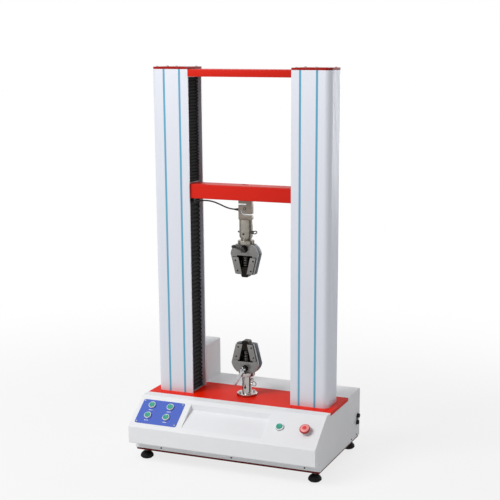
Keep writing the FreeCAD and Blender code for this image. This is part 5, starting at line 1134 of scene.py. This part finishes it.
# %% Shims, rings and discs of painted shade
RAIL_SIDE, BODY_FACE, RAIL_HEIGHT = 27.8, 16, 741
RAIL_SCREWS = 20.2
UPPER_SIGHT, LOWER_SIGHT = 861, 271
LEVER_FRONT = -38.3
for grip, body, rail_height in (("upper", "crosshead", RAIL_HEIGHT),
                                ("lower", "root", GRIP_HEIGHTS - RAIL_HEIGHT)):
    source = nodes[grip + "_grip_rails"]
    shade_shim = bpy.data.objects.new(grip + "_rail_shade_shims", source.data.copy())
    shade_shim.data.transform(source.matrix_world)
    bpy.context.scene.collection.objects.link(shade_shim)
    chosen(shade_shim, "FACE", lambda middle, face: True)
    bpy.ops.mesh.remove_doubles(threshold=0.01 * MM)
    bpy.ops.object.mode_set(mode="OBJECT")
    chosen(shade_shim, "VERT", lambda place, point: abs(place.y) > RAIL_SCREWS)
    bpy.ops.mesh.select_linked()
    bpy.ops.mesh.delete(type="VERT")
    for side_x in (1, -1):
        for side_y in (1, -1):
            chosen(shade_shim, "VERT", lambda place, point:
                   place.x * side_x > 0 and place.y * side_y > 0)
            bpy.ops.transform.resize(
                value=(1.1, 0.1, 1.05),
                center_override=(RAIL_SIDE * side_x * MM, BODY_FACE * side_y * MM,
                                 rail_height * MM))
    bpy.ops.object.mode_set(mode="OBJECT")
    # The shim's black is painted shade round the rail
    coated(shade_shim, blackened_and_shade_steel)
    finished_piece(shade_shim, body)


def front_ring(name, inner, outer, low, high, place, finish, body):
    """A turned ring or disc that faces the front, its back at the given place."""
    if inner:
        piece = tube(name, inner, outer, low, high)
    else:
        piece = turned(name, [(outer, low), (outer, high - 0.1), (outer - 0.1, high)])
    placed(piece, (90, 0, 0), place)
    coated(piece, finish)
    return finished_piece(piece, body)


# Dark rings of painted shade round the hubs
front_ring("upper_hub_washer", 5.2, 14, 0, 0.25, (0, -BODY_FACE, UPPER_HUB), blackened_and_shade_steel,
           "crosshead")
front_ring("lower_hub_washer", 5.2, 12.5, 0, 0.25, (0, -BODY_FACE, LOWER_HUB), blackened_and_shade_steel,
           "root")
# Black discs of painted shade for the holes in the hubs
front_ring("upper_hub_cap", 0, 3.6, 0, 0.3, (0, LEVER_FRONT, UPPER_HUB), black_abs_and_shade, "upper_lever")
front_ring("lower_hub_cap", 0, 2.6, 0, 0.3, (0, LEVER_FRONT, LOWER_HUB), black_abs_and_shade, "lower_lever")
front_ring("cell_boss_rim", 3.4, 5.7, 0, 0.3, (0, -13.2, 953), oiled_steel, "crosshead")
# Black rings of painted shade round the sight holes
front_ring("upper_sight_bush", 3.05, 4.4, 0, 0.4, (0, -24.9, UPPER_SIGHT), black_abs_and_shade, "crosshead")
front_ring("lower_sight_bush", 3.05, 4.6, 0, 0.4, (0, -17.9, LOWER_SIGHT), black_abs_and_shade, "root")

# The lower hub carries a bright cross that the hand turns
cross = joined("lower_hub_cross", [block("cross_long", (-11, -2.4, 0), (11, 2.4, 2.2)),
                                   block("cross_short", (-2.4, -11, 0), (2.4, 11, 2.2))])
placed(cross, (0, 0, 12))
placed(cross, (90, 0, 0), (0, LEVER_FRONT + 0.1, LOWER_HUB))
coated(cross, zinc_and_edge_highlight)
finished_piece(cross, "lower_lever")

# Wire rings in the pins, thick enough to pull with a gloved finger
for name, x, z, ring, wire, tilt, finish, body in (
        ("upper_pin_loop", 35.7, 865, 7.3, 1.9, 35, oiled_steel, "upper_pin_body"),
        ("lower_pin_loop", 28.9, 284, 8.5, 1.7, 90, turned_steel, "lower_pin_body")):
    loop = started(name, bpy.ops.mesh.primitive_torus_add, major_radius=ring * MM,
                   minor_radius=wire * MM, major_segments=48, minor_segments=12)
    placed(loop, (tilt, 0, 0), (x, 0, z))
    coated(loop, finish)
    finished_piece(loop, body, crease=60)
print("rings and shims made")

# %% [markdown]
# ## Sockets and the cable clip
# The mains inlet and the cell's socket are round black connectors in threaded rings on the right
# side. Each is turned: flange, knurled ring, face drawn in and a boss with the contacts. The
# earth screw beside them is a small stud. The cell's gland and the cable clip are black too.

# %% Sockets and the cable clip
def connector(name, radius, proud):
    """A round panel connector along Z, its flange on the sheet."""
    body = turned(name, [(radius, -8), (radius, 2), (radius - 0.5, 2.5), (radius - 1.2, 2.5),
                         (radius - 1.2, proud - 0.6), (radius - 1.8, proud), (radius - 3.4, proud),
                         (radius - 3.8, proud - 3.5), (2.2, proud - 3.5), (2.2, proud - 1.2),
                         (1.8, proud - 0.8)], sides=40)
    chosen(body, "FACE", lambda middle, face: 3 < middle.z < proud - 0.7 and
           abs(face.normal.z) < 0.3 and math.hypot(middle.x, middle.y) > radius - 1.6 and
           round(math.degrees(math.atan2(middle.y, middle.x)) / 9 - 0.5) % 2 == 0)
    bpy.ops.mesh.inset(thickness=0.15 * MM, use_individual=True)
    bpy.ops.transform.resize(value=(0.96, 0.96, 1), center_override=(0, 0, 0))
    bpy.ops.object.mode_set(mode="OBJECT")
    return coated(body, black_abs_and_shade)


inlet = placed(connector("inlet", 9.5, 9), (0, 90, 0), (372.5, 222, 133))
signal = placed(connector("signal", 9.5, 9), (0, 90, 0), (372.5, 214, 108))
earth = coated(turned("earth", [(4, -3), (4, 1.2), (3.6, 1.6), (2, 1.6), (2, 3)], sides=24),
               zinc_and_edge_highlight)
placed(earth, (0, 90, 0), (372.5, 160, 113))
carrier = coated(block("carrier", (372.5, 208, 106), (373.7, 228, 135)), black_abs_and_shade)
sockets = joined("side_connectors", [inlet, signal, earth, carrier])
finished_piece(sockets, "root")
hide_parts("side_sockets")

# The gland and the clip are black, and lie to the left of the cell's bolt and spacer
BOLT_SIDE = -20
fittings = nodes["load_cell_fittings"]
fittings.data.materials.append(black_abs_and_shade)
for face in fittings.data.polygons:
    if (fittings.matrix_world @ face.center).x < BOLT_SIDE * MM:
        face.material_index = 1
print("connectors: 2 and an earth screw")
